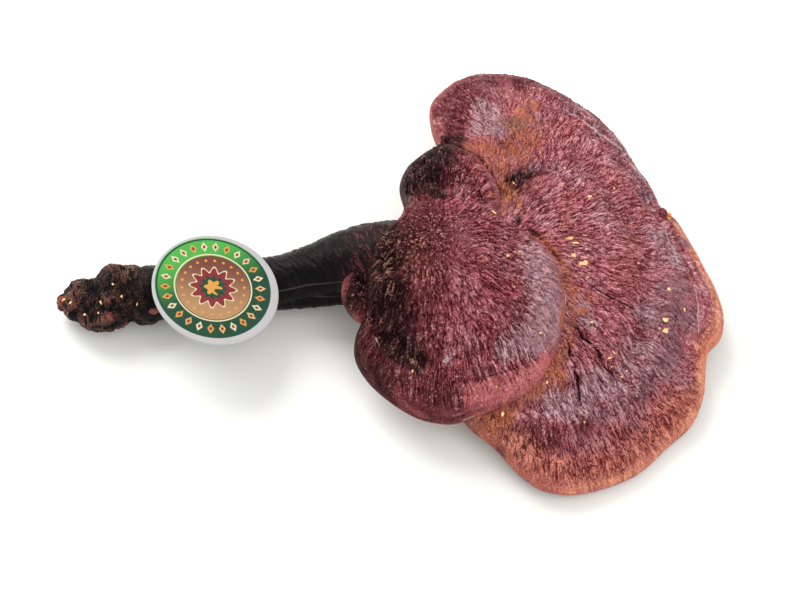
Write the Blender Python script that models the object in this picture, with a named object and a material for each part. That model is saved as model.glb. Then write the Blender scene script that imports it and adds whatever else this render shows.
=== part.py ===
"""Dried reishi mushroom lying on a table: a stem, two caps and a round paper label.

The small cap grew over the large one. Sizes are in millimetres and become metres where a mesh is made.
X runs from the root end to the caps, Y away from the viewer and Z up. The origin is on the table, under
the middle of the mushroom.
"""

import math
from dataclasses import dataclass

import bmesh
import bpy
import numpy as np
from mathutils import Vector, noise

METRES = 0.001
GAP = 0.35  # clearance between two solids that touch

# Label
LABEL_RADIUS = 19.6
LABEL_THICKNESS = 0.5
LABEL_CENTRE = (-53.6, -16.9)
LABEL_LEAN = 14.0  # degrees that its right side dips
LABEL_SIDES = 64

# Stem: centre line (x, y, z) and radius, from the torn root end to the tip buried in the caps
STEM_LINE = (
    (-103.0, -10.4, 4.0, 2.6),
    (-100.5, -10.6, 5.6, 4.6),
    (-97.0, -11.4, 7.2, 6.4),
    (-91.5, -12.4, 8.4, 8.0),
    (-87.0, -12.2, 9.6, 9.4),
    (-82.0, -10.8, 9.3, 9.2),
    (-75.5, -9.2, 8.9, 8.6),
    (-67.0, -8.4, 8.8, 8.4),
    (-55.0, -7.2, 8.6, 8.3),
    (-40.0, -6.2, 9.2, 8.3),
    (-32.0, -6.0, 10.6, 8.9),
    (-22.0, -5.0, 13.0, 10.3),
    (-13.0, -4.0, 16.0, 11.6),
    (-4.0, -4.0, 19.2, 12.2),
    (6.0, -4.6, 22.0, 11.6),
    (17.0, -5.0, 23.6, 9.4),
    (28.0, -5.6, 24.0, 5.6),
)
STEM_BLUNTNESS = 0.6  # share of the end radius that each end cap stands out
STEM_SIDES = 24
STEM_RINGS = 40
# Lumps on the stem: x, degrees round it, rise, length, width in degrees.
# The degrees run from 0 at the rear over 90 at the top to 180 at the viewer.
STEM_LUMPS = (
    (-57.0, 100.0, 3.0, 11.0, 60.0),
    (-61.0, 112.0, 4.0, 5.5, 36.0),
    (-86.0, 66.0, 1.6, 4.0, 44.0),
    (-93.0, 178.0, 1.8, 5.0, 48.0),
    (-84.5, 190.0, -2.0, 2.6, 50.0),
    (-91.0, 104.0, -1.5, 2.6, 44.0),
    (-98.0, 110.0, 1.2, 2.6, 40.0),
    (-78.0, 150.0, 1.2, 4.0, 40.0),
    (-76.0, 215.0, 1.2, 3.0, 35.0),
    (-88.0, 330.0, 1.2, 5.0, 40.0),
)
# The furrow between the stem's two grown-together strands, on the viewer's side
FURROW_ANGLE = 178.0
FURROW_WIDTH = 13.0
FURROW_DEPTH = 2.6
FURROW_FROM, FURROW_TO = -42.0, -20.0  # it deepens from the first x to the second


@dataclass(frozen=True)
class Cap:
    """One cap. Its ribs run from the growth point to the margin, an outline of x, y and edge height."""

    name: str
    growth_point: tuple
    crown: float  # height of the top over the growth point
    hollow: float  # height of the underside there
    top_curve: float
    under_curve: float
    lip: float  # half the margin's thickness
    margin: tuple
    swellings: tuple  # x, y, rise of the top, spread
    bands: tuple  # share of the way to the margin, rise, width as such a share
    folds: int
    fold_depth: float
    seed: float


LARGE_CAP = Cap(
    name="large_cap",
    growth_point=(31.5, -7.0),
    crown=33.0,
    hollow=14.0,
    top_curve=1.9,
    under_curve=2.0,
    lip=3.9,
    margin=(
        (102.0, -9.0, 9.0),
        (98.5, 0.0, 9.0),
        (92.5, 17.0, 7.5),
        (87.5, 22.5, 7.5),
        (85.0, 31.0, 6.5),
        (80.5, 40.0, 5.5),
        (77.0, 51.0, 3.4),
        (70.5, 61.2, 2.8),
        (63.0, 68.0, 3.2),
        (54.0, 73.2, 5.0),
        (45.0, 76.5, 7.0),
        (35.5, 77.0, 8.5),
        (26.5, 74.5, 10.5),
        (18.0, 68.0, 12.5),
        (13.0, 60.0, 14.5),
        (12.8, 51.0, 16.0),
        (15.5, 41.0, 17.0),
        (12.0, 29.0, 18.0),
        (8.0, 15.0, 18.5),
        (6.5, -6.0, 18.5),
        (8.0, -25.0, 17.5),
        (13.5, -45.0, 14.5),
        (23.0, -57.5, 11.0),
        (31.0, -64.0, 9.0),
        (38.5, -72.0, 7.0),
        (46.0, -76.8, 6.0),
        (57.0, -76.8, 4.2),
        (73.0, -70.4, 2.8),
        (84.0, -60.4, 2.8),
        (91.5, -53.6, 3.8),
        (95.5, -45.0, 6.0),
        (96.8, -36.0, 7.2),
        (98.0, -30.5, 8.0),
        (102.2, -25.5, 8.5),
        (103.4, -18.0, 9.0),
    ),
    swellings=(
        (30.0, 58.0, 3.0, 9.0),
        (22.0, 40.0, -3.0, 8.0),
        (44.0, 34.0, -2.6, 9.0),
        (70.0, 22.0, 2.4, 14.0),
        (80.0, -22.0, 2.2, 12.0),
        (50.0, -62.0, 1.8, 10.0),
        (88.0, -38.0, -1.2, 7.0),
    ),
    bands=(
        (0.60, 0.8, 0.05),
        (0.71, -1.3, 0.045),
        (0.81, 0.9, 0.05),
        (0.885, -0.5, 0.02),
        (0.925, 0.4, 0.02),
        (0.955, -0.5, 0.012),
    ),
    folds=34,
    fold_depth=0.75,
    seed=3.0,
)

SMALL_CAP = Cap(
    name="small_cap",
    growth_point=(12.0, -8.0),
    crown=41.5,
    hollow=23.0,
    top_curve=2.3,
    under_curve=1.8,
    lip=2.8,
    margin=(
        (52.9, -23.5, 29.4),
        (51.3, -18.3, 30.3),
        (50.0, -12.8, 31.0),
        (46.6, -6.9, 31.6),
        (40.9, -2.6, 32.3),
        (35.2, 0.8, 32.9),
        (32.5, 4.5, 32.8),
        (33.8, 10.0, 31.9),
        (32.8, 17.0, 30.4),
        (29.0, 25.5, 28.6),
        (24.0, 32.0, 26.4),
        (17.5, 36.0, 24.4),
        (11.0, 34.0, 23.4),
        (5.0, 28.0, 22.9),
        (2.6, 20.5, 23.4),
        (4.0, 12.5, 24.9),
        (2.0, 5.0, 27.4),
        (-4.5, -3.5, 28.2),
        (-7.0, -12.0, 26.2),
        (-7.5, -20.0, 23.2),
        (-7.8, -27.0, 20.2),
        (-10.8, -32.5, 18.8),
        (-10.6, -39.0, 17.4),
        (-6.5, -46.0, 16.2),
        (0.5, -52.3, 15.1),
        (9.0, -57.2, 14.3),
        (18.0, -59.0, 14.7),
        (23.6, -58.0, 16.3),
        (29.5, -56.8, 18.4),
        (34.7, -55.6, 20.4),
        (40.0, -53.4, 22.4),
        (44.4, -50.2, 24.0),
        (48.6, -42.4, 25.8),
        (50.3, -37.6, 26.9),
        (51.9, -32.0, 28.1),
        (52.6, -27.7, 28.8),
    ),
    swellings=(
        (17.0, 24.0, 3.2, 8.0),
        (20.0, 9.0, -2.0, 6.0),
        (44.0, -26.0, 2.6, 12.0),
        (-2.0, -33.0, -2.0, 6.0),
        (22.0, -40.0, 1.6, 12.0),
    ),
    bands=(
        (0.66, 0.5, 0.05),
        (0.74, -0.9, 0.02),
        (0.84, 0.6, 0.05),
        (0.95, -0.4, 0.015),
    ),
    folds=30,
    fold_depth=0.8,
    seed=11.0,
)

# The ear: a small curled lobe of the small cap beside the stem
EAR = Cap(
    name="ear",
    growth_point=(-8.6, -17.0),
    crown=25.2,
    hollow=17.0,
    top_curve=2.0,
    under_curve=2.0,
    lip=2.6,
    margin=(
        (-3.0, -16.5, 22.5),
        (-5.5, -9.6, 23.5),
        (-10.0, -8.0, 23.5),
        (-14.0, -11.5, 22.0),
        (-15.2, -17.5, 20.5),
        (-12.8, -23.5, 19.5),
        (-8.6, -26.4, 19.0),
        (-4.0, -24.0, 20.0),
    ),
    swellings=((-9.4, -16.6, -2.2, 2.6),),
    bands=(),
    folds=6,
    fold_depth=0.4,
    seed=23.0,
)

# Rings of each cap: shares of the way out to where the lip starts to round over
TOP_SHARES = (0.1, 0.22, 0.36, 0.5, 0.6, 0.66, 0.71, 0.76, 0.82, 0.88, 0.94, 1.0)
UNDER_SHARES = (1.0, 0.85, 0.66, 0.42, 0.18)
LIP_STEPS = 3  # steps on the lip from its crest to its edge
LIP_FADE = 6.0  # swellings fade out this far inside the margin
LARGE_CAP_SECTORS = 76
SMALL_CAP_SECTORS = 60
# The small ear has fewer
EAR_TOP_SHARES = (0.35, 0.7, 1.0)
EAR_UNDER_SHARES = (1.0, 0.5)
EAR_SECTORS = 18
CURVE_STEPS = 24  # points between two given points of an outline

# Colours, roughness
FINISHES = {
    "stem": ((0.028, 0.017, 0.016, 1.0), 0.32),
    "large_cap": ((0.165, 0.045, 0.042, 1.0), 0.5),
    "small_cap": ((0.135, 0.034, 0.036, 1.0), 0.48),
    "label": ((0.78, 0.78, 0.74, 1.0), 0.45),
}


def closed_curve(points, count):
    """Count places, evenly spaced, on a smooth closed curve through the points."""
    points = np.array(points, float)
    before, after, last = (np.roll(points, shift, axis=0) for shift in (1, -1, -2))
    t = (np.arange(CURVE_STEPS) / CURVE_STEPS)[:, None, None]
    fine = 0.5 * (
        2 * points
        + (after - before) * t
        + (2 * before - 5 * points + 4 * after - last) * t**2
        + (3 * points - before - 3 * after + last) * t**3
    )
    fine = fine.transpose(1, 0, 2).reshape(-1, points.shape[1])
    fine = np.vstack([fine, fine[:1]])
    steps = np.linalg.norm(np.diff(fine[:, :2], axis=0), axis=1)
    travelled = np.concatenate([[0.0], np.cumsum(steps)])
    wanted = np.arange(count) / count * travelled[-1]
    return np.column_stack([np.interp(wanted, travelled, axis) for axis in fine.T])


def smooth_step(value, low, high):
    t = np.clip((value - low) / (high - low), 0.0, 1.0)
    return t * t * (3 - 2 * t)


def rib_noise(cap, around, share):
    """Folds along the ribs: noise on a circle, so that the last rib meets the first."""
    turn = 2 * math.pi * around
    radius = cap.folds / (2 * math.pi)
    return np.array(
        [
            noise.noise((radius * math.cos(a), radius * math.sin(a), cap.seed + 1.6 * s))
            for a, s in zip(turn, np.broadcast_to(share, turn.shape))
        ]
    )


def lip_drop(cap, inset):
    """How far the rounded lip falls below the smooth surface, by distance in from the margin."""
    inward = np.clip(1 - inset / cap.lip, 0.0, 1.0)
    return cap.lip * (1 - np.sqrt(1 - inward**2))


def cap_ring(cap, margin, share, lip_inset, top):
    """One ring of the cap, at a share of the way from the growth point to lip_inset inside the margin."""
    centre = np.array(cap.growth_point)
    spoke = margin[:, :2] - centre
    reach = np.linalg.norm(spoke, axis=1)
    out = share * (1 - lip_inset / reach)
    place = centre + spoke * out[:, None]
    inset = reach * (1 - out)
    edge = margin[:, 2]
    if top:
        crest = edge + cap.lip
        height = crest + (cap.crown - crest) * (1 - out**cap.top_curve)
        for share_at, rise, width in cap.bands:
            height = height + rise * np.exp(-(((out - share_at) / width) ** 2))
        for x, y, rise, spread in cap.swellings:
            away = (place[:, 0] - x) ** 2 + (place[:, 1] - y) ** 2
            height = height + rise * np.exp(-away / spread**2) * smooth_step(inset, 0.0, LIP_FADE)
        around = np.arange(len(margin)) / len(margin)
        depth = cap.fold_depth * smooth_step(out, 0.05, 0.6)
        height = height + depth * rib_noise(cap, around, out) - lip_drop(cap, inset)
    else:
        base = edge - cap.lip
        height = base + (cap.hollow - base) * (1 - out**cap.under_curve) + lip_drop(cap, inset)
    return np.column_stack([place, height])


def cap_rings(cap, sectors, top_shares=TOP_SHARES, under_shares=UNDER_SHARES):
    """All rings of a cap, from the crown over the lip to the underside, and its two middle points."""
    margin = closed_curve(cap.margin, sectors)
    lip_insets = [cap.lip * (1 - math.sin(math.pi / 2 * step / LIP_STEPS)) for step in range(1, LIP_STEPS)]
    rings = [cap_ring(cap, margin, share, cap.lip, True) for share in top_shares]
    rings += [cap_ring(cap, margin, 1.0, inset, True) for inset in lip_insets]
    rings.append(cap_ring(cap, margin, 1.0, 0.0, True))
    rings += [cap_ring(cap, margin, 1.0, inset, False) for inset in reversed(lip_insets)]
    rings += [cap_ring(cap, margin, share, cap.lip, False) for share in under_shares]
    return rings, (*cap.growth_point, cap.crown), (*cap.growth_point, cap.hollow)


def open_curve(rows, count):
    """Count rows, evenly spaced along x, y, z, on a smooth curve through the given rows."""
    rows = np.array(rows, float)
    rows = np.vstack([2 * rows[0] - rows[1], rows, 2 * rows[-1] - rows[-2]])
    before, here, after, last = rows[:-3], rows[1:-2], rows[2:-1], rows[3:]
    t = (np.arange(CURVE_STEPS) / CURVE_STEPS)[:, None, None]
    fine = 0.5 * (
        2 * here
        + (after - before) * t
        + (2 * before - 5 * here + 4 * after - last) * t**2
        + (3 * here - before - 3 * after + last) * t**3
    )
    fine = fine.transpose(1, 0, 2).reshape(-1, rows.shape[1])
    fine = np.vstack([fine, rows[-2:-1]])
    steps = np.linalg.norm(np.diff(fine[:, :3], axis=0), axis=1)
    travelled = np.concatenate([[0.0], np.cumsum(steps)])
    wanted = np.linspace(0.0, travelled[-1], count)
    return np.column_stack([np.interp(wanted, travelled, axis) for axis in fine.T])


def stem_radius(x, radius, angle):
    """The stem's radius at a place along it and an angle round it, with its lumps and its furrow."""
    for lump_x, lump_angle, rise, length, width in STEM_LUMPS:
        turned = (angle - lump_angle + 180.0) % 360.0 - 180.0
        near = math.exp(-(((x - lump_x) / length) ** 2) - (turned / width) ** 2)
        radius += rise * near
    turned = (angle - FURROW_ANGLE + 180.0) % 360.0 - 180.0
    deepening = float(smooth_step(x, FURROW_FROM, FURROW_TO))
    radius -= FURROW_DEPTH * deepening * math.exp(-((turned / FURROW_WIDTH) ** 2))
    return radius


def stem_rings():
    """The stem's rings, with the tips of its two blunt ends."""
    line = open_curve(STEM_LINE, STEM_RINGS)
    along = np.gradient(line[:, :3], axis=0)
    along /= np.linalg.norm(along, axis=1)[:, None]
    angles = np.arange(STEM_SIDES) * 360.0 / STEM_SIDES
    rings = []
    for (x, y, z, radius), forward in zip(line, along):
        rear = np.cross((0.0, 0.0, 1.0), forward)
        rear /= np.linalg.norm(rear)
        up = np.cross(forward, rear)
        ring = []
        for angle in angles:
            reach = stem_radius(x, radius, angle)
            turn = math.radians(angle)
            ring.append(np.array((x, y, z)) + reach * (math.cos(turn) * rear + math.sin(turn) * up))
        rings.append(np.array(ring))
    root = line[0, :3] - along[0] * line[0, 3] * STEM_BLUNTNESS
    tip = line[-1, :3] + along[-1] * line[-1, 3] * STEM_BLUNTNESS
    return rings, root, tip


def finish_of(name):
    """The plain material of a sub-part."""
    colour, roughness = FINISHES[name]
    material = bpy.data.materials.new(name)
    material.use_nodes = True
    shader = material.node_tree.nodes["Principled BSDF"]
    shader.inputs["Base Color"].default_value = colour
    shader.inputs["Roughness"].default_value = roughness
    shader.inputs["Metallic"].default_value = 0.0
    return material


def skin(name, rings, first, last, growth=0.0):
    """A closed mesh through the rings, drawn to a point at each end and grown outwards by growth."""
    sheet = bmesh.new()
    loops = [[sheet.verts.new(place) for place in ring] for ring in rings]
    for inner, outer in zip(loops, loops[1:]):
        for i in range(len(inner)):
            j = (i + 1) % len(inner)
            sheet.faces.new((inner[i], outer[i], outer[j], inner[j]))
    for loop, point in ((loops[0], first), (loops[-1], last)):
        pole = sheet.verts.new(point)
        for i in range(len(loop)):
            sheet.faces.new((pole, loop[i], loop[(i + 1) % len(loop)]))
    bmesh.ops.recalc_face_normals(sheet, faces=sheet.faces)
    sheet.normal_update()
    if growth:
        moved = [(vertex, vertex.co + vertex.normal * growth) for vertex in sheet.verts]
        for vertex, place in moved:
            vertex.co = place
    bmesh.ops.scale(sheet, vec=(METRES,) * 3, verts=sheet.verts)
    mesh = bpy.data.meshes.new(name)
    sheet.to_mesh(mesh)
    sheet.free()
    mesh.shade_smooth()
    obj = bpy.data.objects.new(name, mesh)
    bpy.context.scene.collection.objects.link(obj)
    return obj


def hide_tool(obj):
    """Marks a mesh that only shapes another one."""
    obj.hide_render = True
    obj.display_type = "WIRE"
    return obj


def shape_with(obj, tool, operation):
    """Adds or cuts away the tool's form."""
    modifier = obj.modifiers.new(f"{operation.lower()} {tool.name}", "BOOLEAN")
    modifier.operation = operation
    modifier.object = tool


def make_stem():
    rings, root, tip = stem_rings()
    stem = skin("stem", rings, root, tip)
    stem.data.materials.append(finish_of("stem"))
    socket = hide_tool(skin("stem_socket", rings, root, tip, growth=GAP))
    return stem, socket


def make_large_cap(socket):
    shape = cap_rings(LARGE_CAP, LARGE_CAP_SECTORS)
    cap = skin("large_cap", *shape)
    cap.data.materials.append(finish_of("large_cap"))
    shape_with(cap, socket, "DIFFERENCE")
    seat = hide_tool(skin("large_cap_seat", *shape, growth=GAP))
    return cap, seat


def make_small_cap(socket, seat):
    cap = skin("small_cap", *cap_rings(SMALL_CAP, SMALL_CAP_SECTORS))
    cap.data.materials.append(finish_of("small_cap"))
    ear_rings = cap_rings(EAR, EAR_SECTORS, EAR_TOP_SHARES, EAR_UNDER_SHARES)
    ear = hide_tool(skin("ear", *ear_rings))
    shape_with(cap, ear, "UNION")
    shape_with(cap, seat, "DIFFERENCE")
    shape_with(cap, socket, "DIFFERENCE")
    return cap


def make_label(stem):
    """The paper disc, let down until it lies on the stem's highest lumps."""
    lean = math.radians(LABEL_LEAN)
    centre = Vector((*LABEL_CENTRE, 0.0)) * METRES
    for vertex in stem.data.vertices:
        offset = vertex.co - Vector((*LABEL_CENTRE, 0.0)) * METRES
        if math.hypot(offset.x, offset.y) < LABEL_RADIUS * METRES:
            centre.z = max(centre.z, offset.z + math.tan(lean) * offset.x)
    centre.z += (GAP + LABEL_THICKNESS / 2) * METRES / math.cos(lean)
    sheet = bmesh.new()
    bmesh.ops.create_cone(
        sheet,
        cap_ends=True,
        segments=LABEL_SIDES,
        radius1=LABEL_RADIUS * METRES,
        radius2=LABEL_RADIUS * METRES,
        depth=LABEL_THICKNESS * METRES,
    )
    mesh = bpy.data.meshes.new("label")
    sheet.to_mesh(mesh)
    sheet.free()
    label = bpy.data.objects.new("label", mesh)
    bpy.context.scene.collection.objects.link(label)
    label.location = centre
    label.rotation_euler.y = lean
    label.data.materials.append(finish_of("label"))
    return label


def main():
    for obj in list(bpy.data.objects):
        bpy.data.objects.remove(obj)
    stem, socket = make_stem()
    _, seat = make_large_cap(socket)
    make_small_cap(socket, seat)
    make_label(stem)


main()
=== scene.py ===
"""Looks of a dried reishi mushroom with a round paper label on its stem.

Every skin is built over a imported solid, on the same outline, and adds what the solid leaves out: wrinkles,
cracks, growth lines, bloom, dust, torn chips and colour. Places are in millimetres, metres only in a mesh.
"""

import math
from dataclasses import dataclass

import bpy
import numpy as np
from bpy.props import FloatProperty, FloatVectorProperty, IntProperty, PointerProperty
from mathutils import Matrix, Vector, noise
from mathutils.bvhtree import BVHTree


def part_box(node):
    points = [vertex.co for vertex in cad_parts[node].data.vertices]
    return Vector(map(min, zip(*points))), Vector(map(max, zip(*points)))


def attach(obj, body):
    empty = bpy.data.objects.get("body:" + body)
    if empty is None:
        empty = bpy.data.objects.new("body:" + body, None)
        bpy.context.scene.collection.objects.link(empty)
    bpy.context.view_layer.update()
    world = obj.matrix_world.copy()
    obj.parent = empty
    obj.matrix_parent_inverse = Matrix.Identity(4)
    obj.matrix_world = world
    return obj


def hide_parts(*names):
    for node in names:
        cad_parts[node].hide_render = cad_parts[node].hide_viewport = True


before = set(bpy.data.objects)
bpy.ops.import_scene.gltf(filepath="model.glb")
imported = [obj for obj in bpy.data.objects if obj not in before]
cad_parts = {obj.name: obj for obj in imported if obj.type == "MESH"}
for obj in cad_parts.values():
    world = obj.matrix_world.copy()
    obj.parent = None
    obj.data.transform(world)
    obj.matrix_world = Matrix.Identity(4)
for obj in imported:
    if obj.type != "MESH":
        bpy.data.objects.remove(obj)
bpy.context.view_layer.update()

bl_info = {
    "name": "Dried Reishi Mushroom",
    "version": (1, 0, 0),
    "blender": (4, 5, 0),
    "location": "3D View > Sidebar > Reishi",
    "description": "Dresses the solids of a dried reishi mushroom and its round label",
    "category": "Object",
}

METRES = 0.001
BODY = "root"

# Camera and light, seen from the front and above
CAMERA_AIM = (2.8, -15.05, 14.0)
CAMERA_DISTANCE = 620.0
CAMERA_ELEVATION = 58.0
CAMERA_LENS = 90.0
CAMERA_SENSOR = 36.0

# Lights: name, place in metres, width in metres, power in watts
LAMPS = (
    ("key", (-0.4, 0.6, 0.72), 0.8, 9.2),
    ("fill", (0.45, -0.5, 0.85), 0.9, 3.4),
)
ROOM_LIGHT = 0.95
FLOOR_REACH = 4.0

# Label
LABEL_LEAN = 14.0  # degrees that its right side dips
LABEL_EDGE = 0.16  # rounding of its edge
LABEL_SIDES = 160
LABEL_RINGS = (0.1, 0.25, 0.4, 0.55, 0.7, 0.85, 0.95)  # shares of its radius
LABEL_EDGE_RINGS = 4

# Stem: centre line (x, y, z) and radius, from the torn root end to the tip buried in the caps
STEM_LINE = (
    (-103, -10.4, 4, 2.6), (-100.5, -10.6, 5.6, 4.6), (-97, -11.4, 7.2, 6.4), (-91.5, -12.4, 8.4, 8),
    (-87, -12.2, 9.6, 9.4), (-82, -10.8, 9.3, 9.2), (-75.5, -9.2, 8.9, 8.6), (-67, -8.4, 8.8, 8.4),
    (-55, -7.2, 8.6, 8.3), (-40, -6.2, 9.2, 8.3), (-32, -6, 10.6, 8.9), (-22, -5, 13, 10.3),
    (-13, -4, 16, 11.6), (-4, -4, 19.2, 12.2), (6, -4.6, 22, 11.6), (17, -5, 23.6, 9.4),
    (28, -5.6, 24, 5.6),
)
STEM_BLUNTNESS = 0.6
STEM_SIDES = 200
STEM_RINGS = 420
# Lumps: x, degrees round the stem (0 to the rear, 90 up, 180 to the viewer), rise, length, width in degrees
STEM_LUMPS = (
    (-57, 100, 3, 11, 60), (-61, 112, 4, 5.5, 36), (-86, 66, 1.6, 4, 44), (-93, 178, 1.8, 5, 48),
    (-84.5, 190, -2, 2.6, 50), (-91, 104, -1.5, 2.6, 44), (-98, 110, 1.2, 2.6, 40), (-78, 150, 1.2, 4, 40),
    (-76, 215, 1.2, 3, 35), (-88, 330, 1.2, 5, 40),
)
FURROW_ANGLE = 178.0
FURROW_WIDTH = 13.0
FURROW_DEPTH = 2.6
FURROW_FROM, FURROW_TO = -42.0, -20.0
ROOT_FADE = (-81.0, -74.0)  # the rough root end gives way to the smooth stem between these
CAPS_FADE = (-26.0, -8.0)  # and the stem takes on the caps' red between these


@dataclass(frozen=True)
class Cap:
    """One cap. Its ribs run from the growth point to the margin, a closed outline of (x, y, edge height)."""

    name: str
    growth_point: tuple
    crown: float  # height of the top over the growth point
    hollow: float  # height of the underside there
    top_curve: float
    under_curve: float
    lip: float  # half the margin's thickness
    margin: tuple
    swellings: tuple  # x, y, rise of the top, spread
    bands: tuple  # share of the way to the margin, rise, width as such a share
    folds: int
    fold_depth: float
    seed: float
    second_focus: tuple = (0.0, 0.0)  # where the ribs of one lobe spread from instead
    lobe: tuple = (0.0, 0.0, 0.0)  # that lobe's middle and reach
    knotty: tuple = (0.0, 1.0)  # wrinkles run every way up to the first distance from the growth point


LARGE_CAP = Cap(
    name="large_cap",
    growth_point=(31.5, -7.0),
    crown=33.0,
    hollow=14.0,
    top_curve=1.9,
    under_curve=2.0,
    lip=3.9,
    margin=(
        (102, -9, 9), (98.5, 0, 9), (92.5, 17, 7.5), (87.5, 22.5, 7.5), (85, 31, 6.5), (80.5, 40, 5.5),
        (77, 51, 3.4), (70.5, 61.2, 2.8), (63, 68, 3.2), (54, 73.2, 5), (45, 76.5, 7), (35.5, 77, 8.5),
        (26.5, 74.5, 10.5), (18, 68, 12.5), (13, 60, 14.5), (12.8, 51, 16), (15.5, 41, 17), (12, 29, 18),
        (8, 15, 18.5), (6.5, -6, 18.5), (8, -25, 17.5), (13.5, -45, 14.5), (23, -57.5, 11), (31, -64, 9),
        (38.5, -72, 7), (46, -76.8, 6), (57, -76.8, 4.2), (73, -70.4, 2.8), (84, -60.4, 2.8),
        (91.5, -53.6, 3.8), (95.5, -45, 6), (96.8, -36, 7.2), (98, -30.5, 8), (102.2, -25.5, 8.5),
        (103.4, -18, 9),
    ),
    swellings=(
        (30, 58, 3, 9), (22, 40, -3, 8), (44, 34, -2.6, 9), (70, 22, 2.4, 14), (80, -22, 2.2, 12),
        (50, -62, 1.8, 10), (88, -38, -1.2, 7),
    ),
    bands=(
        (0.60, 0.8, 0.05), (0.71, -1.3, 0.045), (0.81, 0.9, 0.05), (0.885, -0.5, 0.02), (0.925, 0.4, 0.02),
        (0.955, -0.5, 0.012),
    ),
    folds=34,
    fold_depth=0.75,
    seed=3.0,
    second_focus=(48.0, 24.0),
    lobe=(26.0, 52.0, 17.0),
)

SMALL_CAP = Cap(
    name="small_cap",
    growth_point=(12.0, -8.0),
    crown=41.5,
    hollow=23.0,
    top_curve=2.3,
    under_curve=1.8,
    lip=2.8,
    margin=(
        (52.9, -23.5, 29.4), (51.3, -18.3, 30.3), (50, -12.8, 31), (46.6, -6.9, 31.6), (40.9, -2.6, 32.3),
        (35.2, 0.8, 32.9), (32.5, 4.5, 32.8), (33.8, 10, 31.9), (32.8, 17, 30.4), (29, 25.5, 28.6),
        (24, 32, 26.4), (17.5, 36, 24.4), (11, 34, 23.4), (5, 28, 22.9), (2.6, 20.5, 23.4),
        (4, 12.5, 24.9), (2, 5, 27.4), (-4.5, -3.5, 28.2), (-7, -12, 26.2), (-7.5, -20, 23.2),
        (-7.8, -27, 20.2), (-10.8, -32.5, 18.8), (-10.6, -39, 17.4), (-6.5, -46, 16.2), (0.5, -52.3, 15.1),
        (9, -57.2, 14.3), (18, -59, 14.7), (23.6, -58, 16.3), (29.5, -56.8, 18.4), (34.7, -55.6, 20.4),
        (40, -53.4, 22.4), (44.4, -50.2, 24), (48.6, -42.4, 25.8), (50.3, -37.6, 26.9), (51.9, -32, 28.1),
        (52.6, -27.7, 28.8),
    ),
    swellings=((17, 24, 3.2, 8), (20, 9, -2, 6), (44, -26, 2.6, 12), (-2, -33, -2, 6), (22, -40, 1.6, 12)),
    bands=((0.66, 0.5, 0.05), (0.74, -0.9, 0.02), (0.84, 0.6, 0.05), (0.95, -0.4, 0.015)),
    folds=30,
    fold_depth=0.8,
    seed=11.0,
    knotty=(6.0, 16.0),
)

# The ear: a small curled lobe of the small cap beside the stem
EAR = Cap(
    name="ear",
    growth_point=(-8.6, -17.0),
    crown=25.2,
    hollow=17.0,
    top_curve=2.0,
    under_curve=2.0,
    lip=2.6,
    margin=(
        (-3, -16.5, 22.5), (-5.5, -9.6, 23.5), (-10, -8, 23.5), (-14, -11.5, 22), (-15.2, -17.5, 20.5),
        (-12.8, -23.5, 19.5), (-8.6, -26.4, 19), (-4, -24, 20),
    ),
    swellings=((-9.4, -16.6, -2.2, 2.6),),
    bands=((0.62, 0.7, 0.12),),
    folds=6,
    fold_depth=0.4,
    seed=23.0,
    knotty=(2.0, 8.0),
)

LIP_FADE = 6.0  # swellings fade out this far inside the margin
FOLD_SHARES = (0.05, 0.6)  # shares of the way to the margin between which the folds of the ribs rise
FOLD_STRETCH = 1.6  # changes of the folds on the way to the margin
CURVE_STEPS = 24  # points between two given points of an outline
RELIEF_FADE = 1.5  # small ridges and furrows fade out this far inside it
LUMP_FADE = (-1.0, 5.0)  # and soft lumps between these
UNDER_FADE = (0.2, 2.5)  # the pore layer begins between these
UNDER_LUMPS, TOP_LUMPS = 0.35, 0.65  # share of the soft lumps on both sides, and on the top besides
FLOOR_GAP = 0.05  # the skins stay this far above the floor
FAR = 99.0  # distance to a stroke where there is none
STROKE_REACH = 1.1  # no crack or line shows farther than this from its middle
SKY = 90.0  # above everything
EDGE_HEIGHT = 9.0  # where a flake that lies off the edge looks for the nearest skin


@dataclass(frozen=True)
class Grid:
    """How finely a cap's skin is laid: sectors round it, and rings on each stretch of the way."""

    sectors: int
    hidden: int  # rings out to the share where the skin comes into view
    shown_from: float
    shown: int
    lip: int
    under: int


GRIDS = {
    "large_cap": Grid(sectors=820, hidden=5, shown_from=0.22, shown=94, lip=6, under=9),
    "small_cap": Grid(sectors=700, hidden=3, shown_from=0.06, shown=106, lip=7, under=9),
    "ear": Grid(sectors=240, hidden=2, shown_from=0.06, shown=44, lip=6, under=5),
}


@dataclass(frozen=True)
class Marks:
    """Where one finish shows on a cap's top."""

    patches: tuple = ()  # x, y, radius
    strokes: tuple = ()  # half width, points
    rims: tuple = ()  # from and to this bearing, full within this inset, gone past that one, strength


RIM_SOFTNESS = 9.0  # degrees over which a rim mark fades in

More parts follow.
